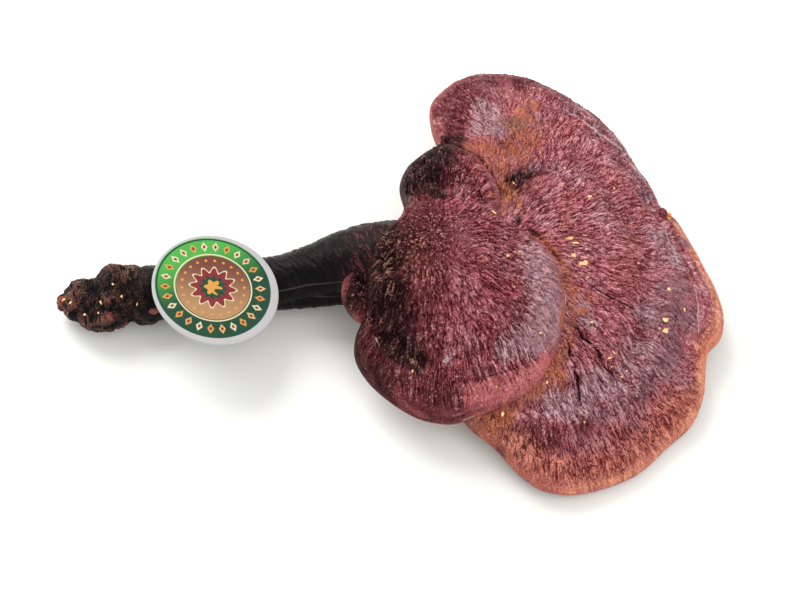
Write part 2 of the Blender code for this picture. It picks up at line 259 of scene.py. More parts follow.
LARGE_CAP_MARKS = {
    "dust": Marks(
        patches=(
            (28, 34, 5), (33, 26, 5), (38, 29, 4.4), (44, 41, 5), (34, 16, 4.4), (36, 9, 4), (40, 34, 5),
            (43, 51, 4.4), (46, 58, 3), (29, -57, 3), (33, -60, 3), (41, -53, 3), (47, -49, 2.8),
            (60, -23, 1.5), (58, -28, 1.6),
        ),
        strokes=(
            (1.7, ((45, -4), (49, -8), (52, -12), (54, -17), (55, -23), (55, -29), (54, -35), (51, -41))),
            (2.2, ((51, -41), (49, -47), (44, -51), (38, -55), (32, -58))),
            (1.2, ((49, -44), (51, -47), (51, -51))),
        ),
    ),
    "brown": Marks(
        patches=((27, -60, 5.0), (33, -65, 5.0), (38, -69, 4.4), (36, 14, 4.0), (40, 46, 5.0)),
        rims=((230, 266, 0.0, 11.0, 0.95), (26, 100, 2.0, 5.5, 0.45)),
    ),
    # Bloom: a grey-mauve film on the crust, partly painted sheen
    "bloom_and_sheen": Marks(
        patches=(
            (31, 50, 5.5), (34, 42, 4), (28, 43, 3.4), (57, -26, 3.4), (59, -31, 3), (62, -49, 5),
            (67, -48, 4.4), (48, -56, 4.6), (54, -56, 4.6), (59, -53, 4), (79, -26, 5), (77, -36, 4),
            (85, 4, 5), (88, -5, 4.4), (72, -42, 3.4),
        ),
    ),
    "slate": Marks(
        patches=(
            (84, -16, 4.4), (85, -23, 4), (84, -30, 4.4), (85, -36, 4), (81, -41, 4), (77, -46, 3.6),
            (74, -50, 3), (68, -54, 3), (62, -57, 3.4), (91, -24, 4.4), (90, -14, 3.6), (92, 6, 3),
            (40, 22, 3), (45, 28, 3), (60, 60, 3.4), (68, 53, 3.4), (75, 44, 3.4), (79, 34, 3.4),
            (82, 24, 3),
        ),
        rims=((14, 96, 6.5, 11.0, 0.3),),
    ),
    "maroon": Marks(
        patches=(
            (24, 62, 7), (19, 54, 5), (21, 47, 4), (33, 67, 5), (27, 56, 4), (43, 70, 4), (20, 38, 5),
            (40, 19, 6), (46, 26, 5), (36, 36, 3), (40, -64, 5), (38, -71, 4), (47, -66, 4), (56, -61, 4),
            (86, -26, 3), (75, -50, 3),
        ),
        rims=((40, 150, 0.0, 9.0, 0.45),),
    ),
    "dark": Marks(
        patches=((20, 40, 4), (38, 20, 3), (42, 24, 2.6), (33, 14, 2.4), (24, -62, 2.6), (31, -67, 3)),
        # These strokes run along the small cap's margin: painted shade in the crevice between the caps
        strokes=(
            (1.2, ((20, 36), (27, 30), (31, 22), (33, 12))),
            (0.7, ((36, 5), (45, -3), (51, -11))),
        ),
    ),
    "rust": Marks(
        patches=((43, -73, 3.6), (88, -55, 5.0), (92, -50, 4.0)),
        rims=((258, 330, 0, 17, 0.85), (318, 350, 0, 9, 0.8), (92, 140, 0.5, 5, 0.7), (40, 96, 0, 3.6, 0.5)),
    ),
    "salmon": Marks(
        patches=((97, -44, 2.8), (92, -53, 3.0)),
        rims=((324, 26, 1.0, 7.0, 0.95), (280, 330, 0.0, 3.2, 0.6)),
    ),
    "streaks": Marks(rims=((14, 100, 6.0, 10.0, 1.0), (330, 20, 7.0, 12.0, 0.8))),
}

SMALL_CAP_MARKS = {
    "dust": Marks(
        patches=((35, 3, 1.6), (31, 9, 1.4)),
        strokes=((0.9, ((51, -18), (52.5, -26), (51, -34))),),
    ),
    # Bloom: a grey-mauve film on the crust, partly painted sheen
    "bloom_and_sheen": Marks(
        patches=(
            (44, -14, 5), (45, -21, 6), (47, -29, 6), (46, -36, 5), (42, -42, 4), (39, -40, 3.4),
            (34, -44, 3.6), (17, -46, 1.6),
        ),
    ),
    "dark": Marks(
        patches=(
            (13, 30, 8), (8, 26, 8), (7, 19, 8), (12, 15, 5), (14, 8, 3), (5, 13, 5), (-3, -2, 8),
            (-4, -14, 9), (-2, -26, 9), (1, -37, 6), (4, -42, 4), (8, -45, 3), (15, 22, 4),
        ),
        rims=((168, 262, 0.0, 7.0, 0.7), (262, 290, 0.0, 2.4, 0.45)),
    ),
    "maroon": Marks(
        patches=(
            (21, 28, 5), (20, 16, 5), (6, -8, 6), (6, -20, 6), (-6, -40, 5), (-7, -35, 4), (-2, -47, 5),
            (5, -51, 5), (11, -42, 6), (13, -54, 5), (20, -56, 4), (10, -30, 6), (12, -10, 7), (10, 4, 7),
            (12, -20, 7), (6, -35, 6),
        ),
        rims=((165, 280, 1.0, 9.0, 0.9), (280, 330, 0.0, 2.0, 0.5)),
    ),
    "rust": Marks(rims=((268, 330, 0.0, 1.0, 0.5),)),
    "pink": Marks(
        patches=(
            (23.5, -54.5, 2.4), (27, -53.5, 3), (31, -53, 3), (35, -52.5, 3), (39, -51, 3),
            (43, -48.5, 2.8), (46, -45, 2.4),
        ),
    ),
    "tan": Marks(
        patches=(
            (-2, -8, 4), (-1, -15, 4.6), (3, -10, 5), (4, -18, 5), (5, -25, 4.4), (8, -13, 5),
            (12, -20, 5), (8, -45, 2.4), (3, 0, 4),
        ),
    ),
    "streaks": Marks(rims=((150, 300, 1.0, 3.0, 0.7),)),
}

EAR_MARKS = {
    "maroon": Marks(patches=((-9, -17, 9.0),)),
    "dark": Marks(patches=((-8.6, -16.6, 4), (-4, -21, 5), (-4, -12, 4), (-12, -21, 3.4), (-10, -12, 2.4))),
    "brown": Marks(rims=((80, 300, 0.0, 2.0, 0.5),)),
    "tan": Marks(rims=((60, 300, 1.0, 4.0, 0.6),)),
}

MARK_KINDS = ("dust", "brown", "bloom_and_sheen", "slate", "dark", "maroon", "rust", "salmon", "pink", "tan", "streaks")

# Cracks of the crust: half width, points
LARGE_CAP_CRACKS = (
    (0.4, ((59, -18), (64.6, -20.7), (69.3, -23.3), (75.8, -25.7))),
    (0.32, ((65.3, -22.7), (69.4, -25.4), (72.4, -29.8))),
    (0.3, ((61.6, -25.4), (62.8, -28))),
    (0.5, ((52.7, -30.8), (56.2, -32.9), (57.8, -35.3), (60.2, -36.5), (61.9, -38.7), (63.2, -42))),
    (0.5, ((52.5, -35.5), (53.5, -39), (54.1, -43))),
    (0.45, ((52.9, -38.7), (54.4, -43.8), (56.1, -47.5), (57, -52.7), (57.1, -57.5))),
    (0.42, ((59.9, -36.2), (62.6, -39.3), (64, -43.2), (67.5, -44.5), (68.8, -49.6))),
    (0.34, ((88.2, -22.5), (85.8, -29.4), (88.1, -31.1))),
    (0.34, ((55.8, 7.3), (60.6, 9.6), (65.2, 12.3))),
    (0.34, ((57.2, -6.1), (60.3, -7.5), (63.1, -7.8))),
    (0.36, ((65.4, -9.7), (70.1, -9.4), (72.3, -9.5))),
    (0.34, ((73.2, -13.8), (76.3, -17.6))),
    (0.34, ((56.5, 34), (57.2, 38.5), (58.5, 43.5))),
    (0.36, ((54, 30), (51.8, 26.4), (47.7, 22.1))),
    (0.36, ((48.6, 36), (48.4, 32), (47.4, 27))),
    (0.3, ((65.4, 26.3), (67.6, 29.9))),
    (0.32, ((54.6, 20.5), (58, 23), (60.7, 25.8))),
    (0.3, ((56.9, -72), (58.5, -68.8))),
    (0.3, ((72, -68), (68, -72))),
    (0.28, ((70, 3), (75, 8))),
    (0.28, ((66, 36), (69, 41))),
    (0.28, ((72, -56), (75, -60))),
)
SMALL_CAP_CRACKS = (
    (0.3, ((26.5, -22.8), (29.4, -26.2), (31.8, -28.4))),
    (0.32, ((33.6, -37.2), (35.7, -39.6), (35.1, -42.3))),
    (0.28, ((36.6, -38.4), (38.4, -40.5))),
    (0.28, ((19, -50.5), (24, -50.8), (27.8, -50.4), (31.3, -49.8), (35.1, -48.8), (39.5, -47))),
    (0.3, ((39, -44), (41, -47), (41, -49))),
)
EAR_CRACKS = ((0.3, ((-6, -24), (-4, -21), (-5, -18))),)

# Thin pale growth lines, scuffs and hairs, and on the small cap also painted highlights along its left ridge
# and its front edge: half width, points
LARGE_CAP_LINES = (
    (0.4, ((55.7, 61.4), (65.3, 53.9), (74.8, 45), (80.7, 34.6), (84.5, 26))),
    (0.36, ((58, 66), (67.6, 58), (76.6, 49), (82, 38))),
    (0.3, ((85, 14), (87.6, 6), (88.6, -3), (90, -10))),
    (0.3, ((93, -8), (94.5, -18), (94, -30))),
    (0.16, ((55.5, 3), (57.5, 6), (58, 9))),
    (0.14, ((52, -34), (54.5, -32))),
)
# Its first line is the pale front edge, partly a painted highlight; its second is a painted highlight along
# the crest of the left ridge
SMALL_CAP_LINES = (
    (0.2, ((21, -58.6), (23.6, -58.1), (26.5, -57.6), (30.9, -56.9), (34.8, -55.8))),
    (0.16, ((-5.4, -35.6), (-4.4, -37.5), (-2.9, -40.9))),
    (0.7, ((17.4, -45.4), (15.4, -46.2))),
    (0.3, ((50.3, -14), (52.3, -20), (52.6, -27))),
    (0.14, ((46, -33), (48.5, -31))),
)
EAR_LINES = ((0.3, ((-5.5, -13.5), (-8.5, -13.2), (-10.5, -15))),)

# Ridges and furrows too small for the solids: rise, half width, points
LARGE_CAP_RELIEF = (
    (-1.1, 1.0, ((55.5, -33), (58, -35.4), (61, -37.5), (63, -41))),
    (-0.9, 0.9, ((53, -37), (55, -44), (57, -52))),
    (-0.5, 0.8, ((59, -18), (67, -22), (75, -25.7))),
    (1.2, 3.0, ((86, -10), (85, -27), (80, -40), (72, -51), (58, -58))),
    (-1.2, 2.6, ((80, -6), (78, -22), (75, -34), (68, -45), (58, -50))),
    (-0.9, 1.8, ((92, -10), (90, -24), (87, -38), (80, -50), (70, -60), (56, -66))),
    (-1.6, 3.0, ((34, 20), (40, 18), (46, 24))),
    (-1.4, 2.2, ((42, 66), (55, 59), (65, 51), (73, 41), (79, 28), (84, 14))),
    (1.1, 1.3, ((50, 67), (60, 61), (70, 53), (78, 42), (84, 28), (88, 8))),
)
SMALL_CAP_RELIEF = (
    (1.7, 1.2, ((-7, -33.5), (-4.4, -37.5), (-2.9, -40.9), (-0.8, -43.6), (1.9, -46.7), (5.2, -47.8))),
    (-2.6, 2.8, ((-4, -29.5), (-0.6, -33), (0.8, -38), (3, -42), (6, -44.4), (10, -46))),
    (1.6, 3.2, ((-7, -19), (-3, -22), (2, -26), (6, -31))),
    (-2.4, 2.6, ((-7, -10.5), (-2, -13), (3, -17.5), (7, -23))),
    (-0.7, 0.8, ((17, -50.6), (24, -50.8), (27.8, -50.4), (35.1, -48.8), (41, -46), (45, -42))),
    (-2.0, 2.6, ((-1, 8), (6, 12), (12, 13.5), (18, 13))),
    (-1.2, 2.0, ((20, 22), (24, 16), (28, 9))),
    (-0.7, 1.2, ((36, -4), (42, -10), (45, -18), (46, -27), (44, -36), (39, -42))),
    (0.5, 1.4, ((38, -2), (44, -9), (47, -18), (48, -27), (46, -37))),
)
EAR_RELIEF = ((-1.1, 1.6, ((-9.6, -14.4), (-8, -17.5), (-5.4, -20.5))),)

# Torn chips of pale flesh: x, y, length, width, degrees that the length is turned from X
CHIPS = {
    "large_cap": (
        (53.2, 1.6, 1.7, 1.4, 20), (54.6, -3.2, 3.4, 1, 15), (56, -4.6, 3.8, 1.1, -20),
        (55.6, -9.2, 2.4, 1.4, 40), (58.3, -12, 4, 1.9, 25), (59.5, -16.4, 0.9, 0.8, 0),
        (70.5, 22, 1, 0.8, 0), (62, 15, 2.2, 0.7, -30), (57, 18.4, 0.9, 0.7, 60), (76, -8.6, 0.9, 0.8, 0),
        (79, -7.8, 0.7, 0.6, 0), (84.8, -17.6, 1, 0.9, 0), (83.2, -27.4, 4.6, 2, 84),
        (83, -31, 2.6, 1.7, 70), (89.6, -22.4, 1.6, 0.8, -35), (60.4, -30.6, 1, 0.8, 0),
        (65.6, -40.4, 2.2, 0.8, 30), (67, -38.8, 1.4, 0.7, -40), (66.2, -42.4, 1, 0.8, 0),
        (69.6, -44.4, 1, 0.9, 0), (71, -42.4, 0.9, 0.7, 30), (80, -52.4, 0.6, 0.5, 0),
        (46.4, -50.4, 0.9, 0.8, 0), (33.4, -57.6, 1, 1.8, -15), (47, 67.6, 0.8, 0.6, 0),
        (55, 27.6, 0.9, 0.7, 0), (38.4, 19, 0.8, 0.7, 0), (73, 12, 0.6, 0.5, 0),
        (57.4, -60.6, 0.7, 1.4, 20),
    ),
    "small_cap": (
        (35, -15.8, 1.1, 0.8, 10), (38.4, -14.6, 0.7, 0.6, 0), (49.4, -41.6, 1.1, 2.6, -20),
        (44.4, -38, 0.7, 0.6, 0), (6.4, -47.6, 1.3, 0.8, 40), (31.4, -52.8, 0.7, 0.7, 0),
        (24, 9.4, 0.8, 0.6, 0), (31.4, 2.8, 2.4, 1.2, -60),
    ),
    "stem": (
        (-89.3, -17.6, 1.3, 0.9, 75), (-90.4, -19.2, 1.1, 0.9, 20), (-94.9, -19, 0.9, 0.8, 0),
        (-83.1, -15.8, 0.6, 1, 0), (-78.3, -17.2, 1.3, 0.5, 62), (-73, -17.6, 1.6, 0.9, 5),
        (-101.6, -14.6, 1.3, 1, 0), (-99.4, -16, 1.1, 0.6, 50), (-94.6, -7, 1, 0.7, 30),
        (-85.7, -12.7, 0.9, 0.6, -20),
    ),
}
# Thicker nubs: the same, thickness, and from 0 for flesh to 1 for crust
NUBS = {
    "large_cap": ((86.4, 16.8, 3.6, 3, 70, 2.6, 1), (87.9, 17.3, 3.4, 2.2, -35, 3, 0)),
    "small_cap": (),
    "stem": (
        (-102.6, -13.2, 4.4, 3, 0, 3, 0.93), (-86.7, -21, 2.2, 3, 0, 2.4, 0.96),
        (-73.6, -17.8, 3.6, 2.2, 5, 2.4, 0.93),
    ),
}


@dataclass(frozen=True)
class Crust:
    """What shows on a cap's top."""

    marks: dict
    cracks: tuple
    lines: tuple
    relief: tuple


LARGE_CAP_CRUST = Crust(LARGE_CAP_MARKS, LARGE_CAP_CRACKS, LARGE_CAP_LINES, LARGE_CAP_RELIEF)
SMALL_CAP_CRUST = Crust(SMALL_CAP_MARKS, SMALL_CAP_CRACKS, SMALL_CAP_LINES, SMALL_CAP_RELIEF)
EAR_CRUST = Crust(EAR_MARKS, EAR_CRACKS, EAR_LINES, EAR_RELIEF)
# A faint pale line along the front of the stem's upper strand, in the crest highlight colour: a painted
# highlight
STEM_LINES = ((0.2, ((-50, -13.4), (-38, -13.0), (-26, -12.6), (-14, -13.6))),)


def ink(red, green, blue):
    """A screen colour of 0 to 255 as the linear colour that shaders take."""
    shares = (channel / 255 for channel in (red, green, blue))
    return (*(s / 12.92 if s <= 0.04045 else ((s + 0.055) / 1.055) ** 2.4 for s in shares), 1.0)


def colour(name, description, red, green, blue):
    default = ink(red, green, blue)
    return FloatVectorProperty(
        name=name, description=description, size=4, subtype="COLOR", min=0.0, max=1.0, default=default
    )


def length(name, description, millimetres):
    metres = millimetres * METRES
    return FloatProperty(name=name, description=description, default=metres, min=0.0, unit="LENGTH")


class ReishiSizes(bpy.types.PropertyGroup):
    wrinkle_width: length("Wrinkle width", "From one broad wrinkle of the caps to the next", 1.7)
    wrinkle_height: length("Wrinkle height", "From the valley of a broad wrinkle to its crest", 0.9)
    fine_width: length("Fine wrinkle width", "From one fine wrinkle to the next", 0.85)
    lump_width: length("Lump width", "Spread of the caps' soft lumps", 9.0)
    lump_height: length("Lump height", "Rise of the caps' soft lumps", 1.5)
    crack_depth: length("Crack depth", "How deep the cracks of the crust go", 0.5)
    stem_wrinkle_width: length("Stem wrinkle width", "From one wrinkle of the stem to the next", 2.4)
    stem_wrinkle_height: length("Stem wrinkle height", "Height of the wrinkles of the stem", 0.28)
    knob_lump_width: length("Knob lump width", "Spread of the lumps on the root end", 8.0)
    knob_lump_height: length("Knob lump height", "Rise of the lumps on the root end", 1.8)
    chip_thickness: length("Chip thickness", "How thick a torn chip is", 0.5)
    chip_raggedness: length("Chip raggedness", "How far a chip's outline strays", 0.5)
    print_shift: length("Print shift", "How far the print sits off the label's middle", 0.8)
    print_radius: length("Print radius", "Radius of the printed disc", 17.9)
    seed: IntProperty(name="Seed", description="Changes everything random", default=4, min=0)


class ReishiColours(bpy.types.PropertyGroup):
    # Each valley colour below is painted shade: the caps' crust takes it in the valleys between the wrinkles,
    # and its body colour on the crests
    wine: colour("Wine", "Crust of the large cap", 194, 114, 120)
    wine_valley: colour("Wine valley", "Valleys between its wrinkles", 92, 22, 30)
    mauve: colour("Mauve", "Paler blotches of the large cap", 196, 138, 144)
    mauve_valley: colour("Mauve valley", "Valleys in those blotches", 102, 38, 48)
    deep: colour("Deep wine", "Crust of the small cap", 166, 82, 88)
    deep_valley: colour("Deep wine valley", "Valleys between its wrinkles", 60, 8, 15)
    # Real grey-mauve bloom, partly also painted sheen
    bloom_and_sheen: colour("Bloom", "Grey-mauve bloom", 190, 148, 154)
    bloom_and_sheen_valley: colour("Bloom valley", "Valleys under the bloom", 112, 62, 70)
    slate: colour("Slate", "Dark slate band of the large cap", 164, 114, 122)
    slate_valley: colour("Slate valley", "Valleys of that band", 84, 44, 54)
    maroon: colour("Maroon", "Dark maroon crust", 136, 66, 70)
    maroon_valley: colour("Maroon valley", "Valleys of that crust", 50, 11, 16)
    pink: colour("Pink", "Grainy pink band of the small cap", 204, 120, 120)
    pink_valley: colour("Pink valley", "Shade of the pink band", 140, 56, 60)
    rust: colour("Rust", "Rust-orange growing rim", 204, 124, 106)
    rust_valley: colour("Rust valley", "Valleys of that rim", 110, 38, 40)
    salmon: colour("Salmon", "Smooth salmon rim", 236, 164, 132)
    salmon_valley: colour("Salmon valley", "Valleys of the salmon rim", 172, 84, 70)
    brown: colour("Brown", "Brown crust beside the dust", 152, 104, 84)
    brown_valley: colour("Brown valley", "Valleys of the brown crust", 72, 34, 28)
    # Real near-black crust, and on the large cap also painted shade in the crevice along the small cap's
    # margin
    dark: colour("Black-brown", "Crust that is nearly black", 94, 53, 54)
    dark_valley: colour("Black-brown valley", "Valleys of that crust", 24, 9, 11)
    dust: colour("Dust", "Orange-brown spore dust", 194, 114, 76)
    dust_valley: colour("Dust shade", "Dust in the valleys", 104, 46, 36)
    # Painted highlight: the pale sheen laid on the crests of the caps' wrinkles and along the rim streaks
    glint: colour("Crest highlight", "Painted highlight on the wrinkle crests", 234, 208, 208)
    # Real tan flecks; on the caps' dark crust the same flecks are a painted highlight on the crests
    tan_fleck: colour("Tan fleck", "Tan flecks, and painted highlight on the dark crests", 184, 140, 116)
    # Real pale lines and scuffs, and also a painted highlight along the small cap's left ridge and front edge
    pale_line_and_highlight: colour("Pale line", "Thin pale growth lines and scuffs", 204, 172, 174)
    crack: colour("Crack", "Bottom of the cracks", 40, 10, 15)
    chip: colour("Chip", "Torn chips that show the flesh", 252, 210, 152)
    chip_edge: colour("Chip edge", "Stained edge of the chips", 206, 120, 56)
    under: colour("Underside", "Pore layer under the caps", 158, 118, 84)
    under_pore: colour("Pore", "Inside of the pores", 84, 52, 36)
    stem: colour("Stem", "Black crust of the stem", 10, 6, 8)
    stem_crest: colour("Stem crest", "Crests of the stem's wrinkles", 24, 17, 20)
    root_brown: colour("Root brown", "Brown crests of the root end", 136, 84, 72)
    root_bit: colour("Root bit", "Orange-tan bits on the root end", 196, 104, 64)
    label_paper: colour("Label paper", "Border of the label", 166, 164, 164)
    label_light: colour("Label light green", "Top of the printed disc", 66, 150, 60)
    label_dark: colour("Label dark green", "Lower part of the green and the ring", 10, 58, 38)
    label_tan: colour("Label tan", "Bottom of the tan panel", 158, 120, 82)
    label_brown: colour("Label brown", "Top of the tan panel", 100, 52, 42)
    label_cream: colour("Label cream", "Light printed motifs", 200, 190, 154)
    label_gold: colour("Label gold", "Gold printed motifs", 190, 136, 54)
    label_red: colour("Label red", "Dark red printed motifs", 118, 28, 34)
    floor: colour("Floor", "Plain floor", 236, 236, 231)


def sizes():
    return bpy.context.scene.reishi_sizes


def in_millimetres(prefix, *names):
    """The sizes of these names as inputs of a tree of nodes."""
    return {name: getattr(sizes(), prefix + name.lower().replace(" ", "_")) / METRES for name in names}


def colours():
    return bpy.context.scene.reishi_colours


# Node trees


class Wire:
    """A value that runs through a node tree. Arithmetic on it adds the nodes."""

    def __init__(self, socket):
        self.socket = socket
        self.tree = socket.id_data

    def math(self, operation, *values):
        node = self.tree.nodes.new("ShaderNodeMath")
        node.operation = operation
        for socket, value in zip(node.inputs, values or (self,)):
            feed(socket, value)
        return Wire(node.outputs[0])

    def __add__(self, other):
        return self.math("ADD", self, other)

    def __sub__(self, other):
        return self.math("SUBTRACT", self, other)

    def __rsub__(self, other):
        return self.math("SUBTRACT", other, self)

    def __mul__(self, other):
        return self.math("MULTIPLY", self, other)

    def __truediv__(self, other):
        return self.math("DIVIDE", self, other)

    def __rtruediv__(self, other):
        return self.math("DIVIDE", other, self)

    def __pow__(self, other):
        return self.math("POWER", self, other)

    __radd__ = __add__
    __rmul__ = __mul__

    def size(self):
        return self.math("ABSOLUTE")

    def rise(self, low, high, kind="SMOOTHSTEP"):
        """0 below low, 1 above high and smooth between them. Low may be the greater."""
        values = {"Value": self, "From Min": low, "From Max": high}
        return add(self.tree, "ShaderNodeMapRange", values, interpolation_type=kind, clamp=True)

    def ramp(self, low, high):
        """0 below low, 1 above high and straight between them."""
        return self.rise(low, high, "LINEAR")


def feed(socket, value):
    """Links a wire into a socket, or sets the socket's own value."""
    if isinstance(value, Wire):
        socket.id_data.links.new(value.socket, socket)
    else:
        socket.default_value = value


def open_socket(sockets, key):
    if isinstance(key, int):
        return sockets[key]
    return next(socket for socket in sockets if socket.name == key and socket.enabled)


def add(tree, kind, values=None, output=0, **settings):
    """Adds a node with its settings and input values, and gives one of its outputs."""
    node = tree.nodes.new(kind)
    for name, value in settings.items():
        setattr(node, name, value)
    for key, value in (values or {}).items():
        feed(open_socket(node.inputs, key), value)
    return Wire(open_socket(node.outputs, output))


def attribute(tree, name, vector=False):
    if tree.bl_idname == "GeometryNodeTree":
        data_type = "FLOAT_VECTOR" if vector else "FLOAT"
        return add(tree, "GeometryNodeInputNamedAttribute", {"Name": name}, "Attribute", data_type=data_type)
    return add(tree, "ShaderNodeAttribute", output="Vector" if vector else "Fac", attribute_name=name)


def parts(vector):
    """The x, y and z of a vector."""
    x = add(vector.tree, "ShaderNodeSeparateXYZ", {0: vector})
    return tuple(Wire(socket) for socket in x.socket.node.outputs)


def joined(tree, x, y, z):
    return add(tree, "ShaderNodeCombineXYZ", {0: x, 1: y, 2: z})


def stretched(tree, axes, factors):
    return joined(tree, *(axis * factor for axis, factor in zip(axes, factors)))


def between(share, first, second):
    """The first value at a share of 0, the second at 1."""
    return first + (second - first) * share


def blend(factor, first, second):
    """The same for colours."""
    values = {"Factor": factor, "A": first, "B": second}
    return add(factor.tree, "ShaderNodeMix", values, "Result", data_type="RGBA")


def cloud(place, per_mm, detail=2.0, roughness=0.5, output="Fac"):
    """Soft noise of about 0.3 to 0.7, per_mm lumps to the millimetre."""
    values = {"Vector": place, "Scale": per_mm, "Detail": detail, "Roughness": roughness}
    return add(place.tree, "ShaderNodeTexNoise", values, output)


def grain(place, per_mm, detail=2.0, roughness=0.5):
    """The same noise about 0."""
    return cloud(place, per_mm, detail, roughness) - 0.5


def vector_sum(first, second):
    return add(first.tree, "ShaderNodeVectorMath", {0: first, 1: second}, operation="ADD")


def vector_scaled(vector, factor):
    return add(vector.tree, "ShaderNodeVectorMath", {0: vector, "Scale": factor}, operation="SCALE")


def sway(place, per_mm, reach):
    """A small random move, up to reach millimetres each way, that changes per_mm times to the millimetre."""
    drift = cloud(place, per_mm, 1.0, output="Color")
    return vector_scaled(vector_sum(drift, joined(place.tree, -0.5, -0.5, -0.5)), reach * 2)


RIB_RUN = 3.8  # how many times longer than wide a wrinkle is
BROAD, SHARP = 0.13, 0.09  # how far from its middle the noise is at a crest: low for narrow valleys
WRINKLE_NOISE = (2.0, 0.55)  # detail and roughness
RING_SHIFT = 7.3  # sets one ring's noise apart from the next
RING_MIX = (0.25, 0.75)  # shares of the way to the next ring between which its noise takes over
CORE = 0.25  # keeps the reach from a focus off zero
STEM_SLANT = 0.5  # how far the stem's wrinkles lean from straight across
GRIT_FINENESS = 3.1  # how many times finer than the root end's lumps its grit is
MIDDLE = 0.6  # height of a wrinkle, from 0 to 1, that stays on the smooth skin

# Sways that bend the wrinkles: times to the millimetre, reach in millimetres
SLOW_SWAY = (0.08, 1.7)
QUICK_SWAY = (0.42, 0.4)
FINE_SWAY = (0.9, 0.2)
STEM_SWAY = (0.12, 1.6)
STRAND_SWAY = (0.14, 3.0)
CHIP_SWAY = (0.9, 1.0)

CAP_DEPTH_NOISE = (0.09, 2.0)  # where the wrinkles of a cap are deep
CAP_INPUTS = ("Wrinkle Width", "Wrinkle Height", "Lump Width", "Lump Height", "Crack Depth")
STEM_INPUTS = CAP_INPUTS[:4]


def ribs(place, focus, width, sharpness, seed):
    """Wrinkles that run out from a focus and fork as they spread, so that they keep their width.

    0 in a valley and 1 on a crest. The noise lies on circles round the focus, and each circle has twice the
    wrinkles of the one inside it.
    """
    x, y, _ = parts(place)
    focus_x, focus_y, _ = parts(focus) if isinstance(focus, Wire) else (*focus, 0.0)
    x, y = x - focus_x, y - focus_y
    reach = (x * x + y * y + CORE) ** 0.5
    doublings = reach.math("LOGARITHM", reach / width, 2.0)
    inner = doublings.math("FLOOR")
    layers = []
    for step in (0.0, 1.0):
        ring = inner + step
        turns = ring.math("POWER", 2.0, ring)
        along = reach / (width * RIB_RUN) + ring * RING_SHIFT + seed
        on_ring = joined(place.tree, x / reach * turns, y / reach * turns, along)
        layers.append(grain(on_ring, 1.0, *WRINKLE_NOISE))
    share = (doublings - inner).rise(*RING_MIX)
    evened = (share * share + (1.0 - share) * (1.0 - share)) ** 0.5
    return (between(share, *layers) / evened).size().ramp(0.0, sharpness)


def knots(place, per_mm, sharpness):
    """Wrinkles that run every way: 0 in a valley and 1 on a crest."""
    return grain(place, per_mm, *WRINKLE_NOISE).size().ramp(0.0, sharpness)


def cap_wrinkles(tree, place, swayed, foci, width, sharpness, seed):
    """A cap's wrinkles: from its growth point, from the second focus on its lobe, knotty near the middle."""
    spread, *second = (ribs(swayed, focus, width, sharpness, seed) for focus in foci)
    if second:
        spread = between(attribute(tree, "lobe"), spread, *second)
    return between(attribute(tree, "knotty"), spread, knots(place, 1.0 / width, sharpness))


def new_tree(name, inputs):
    """A tree of Geometry Nodes with its inputs, each a name and a kind of socket."""
    tree = bpy.data.node_groups.new(name, "GeometryNodeTree")
    for title, kind in (("Geometry", "Geometry"), *inputs, ("Material", "Material")):
        tree.interface.new_socket(title, in_out="INPUT", socket_type=f"NodeSocket{kind}")
    tree.interface.new_socket("Geometry", in_out="OUTPUT", socket_type="NodeSocketGeometry")
    given = tree.nodes.new("NodeGroupInput")
    return tree, {socket.name: Wire(socket) for socket in given.outputs if socket.name}


def end_tree(tree, shaped, material):
    whole = add(tree, "GeometryNodeRealizeInstances", {"Geometry": shaped})
    finished = add(tree, "GeometryNodeSetMaterial", {"Geometry": whole, "Material": material})
    feed(tree.nodes.new("NodeGroupOutput").inputs["Geometry"], finished)
    return tree


def raised(tree, shape, relief):
    """Moves each point out by a relief in millimetres, but none below the floor."""
    normal = add(tree, "GeometryNodeInputNormal")
    offset = vector_scaled(normal, relief * METRES)
    moved = add(tree, "GeometryNodeSetPosition", {"Geometry": shape, "Offset": offset})
    x, y, z = parts(add(tree, "GeometryNodeInputPosition"))
    above = joined(tree, x, y, z.math("MAXIMUM", z, FLOOR_GAP * METRES))
    return add(tree, "GeometryNodeSetPosition", {"Geometry": moved, "Position": above})


def stored(tree, shape, name, value, data_type="FLOAT"):
    values = {"Geometry": shape, "Name": name, "Value": value}
    return add(tree, "GeometryNodeStoreNamedAttribute", values, data_type=data_type, domain="POINT")


def split(tree, name, margin):
    """How deep a point lies in the nearest line of that name, from its stored distance and half width."""
    return attribute(tree, f"{name}_width") + margin - attribute(tree, f"{name}_away").size()


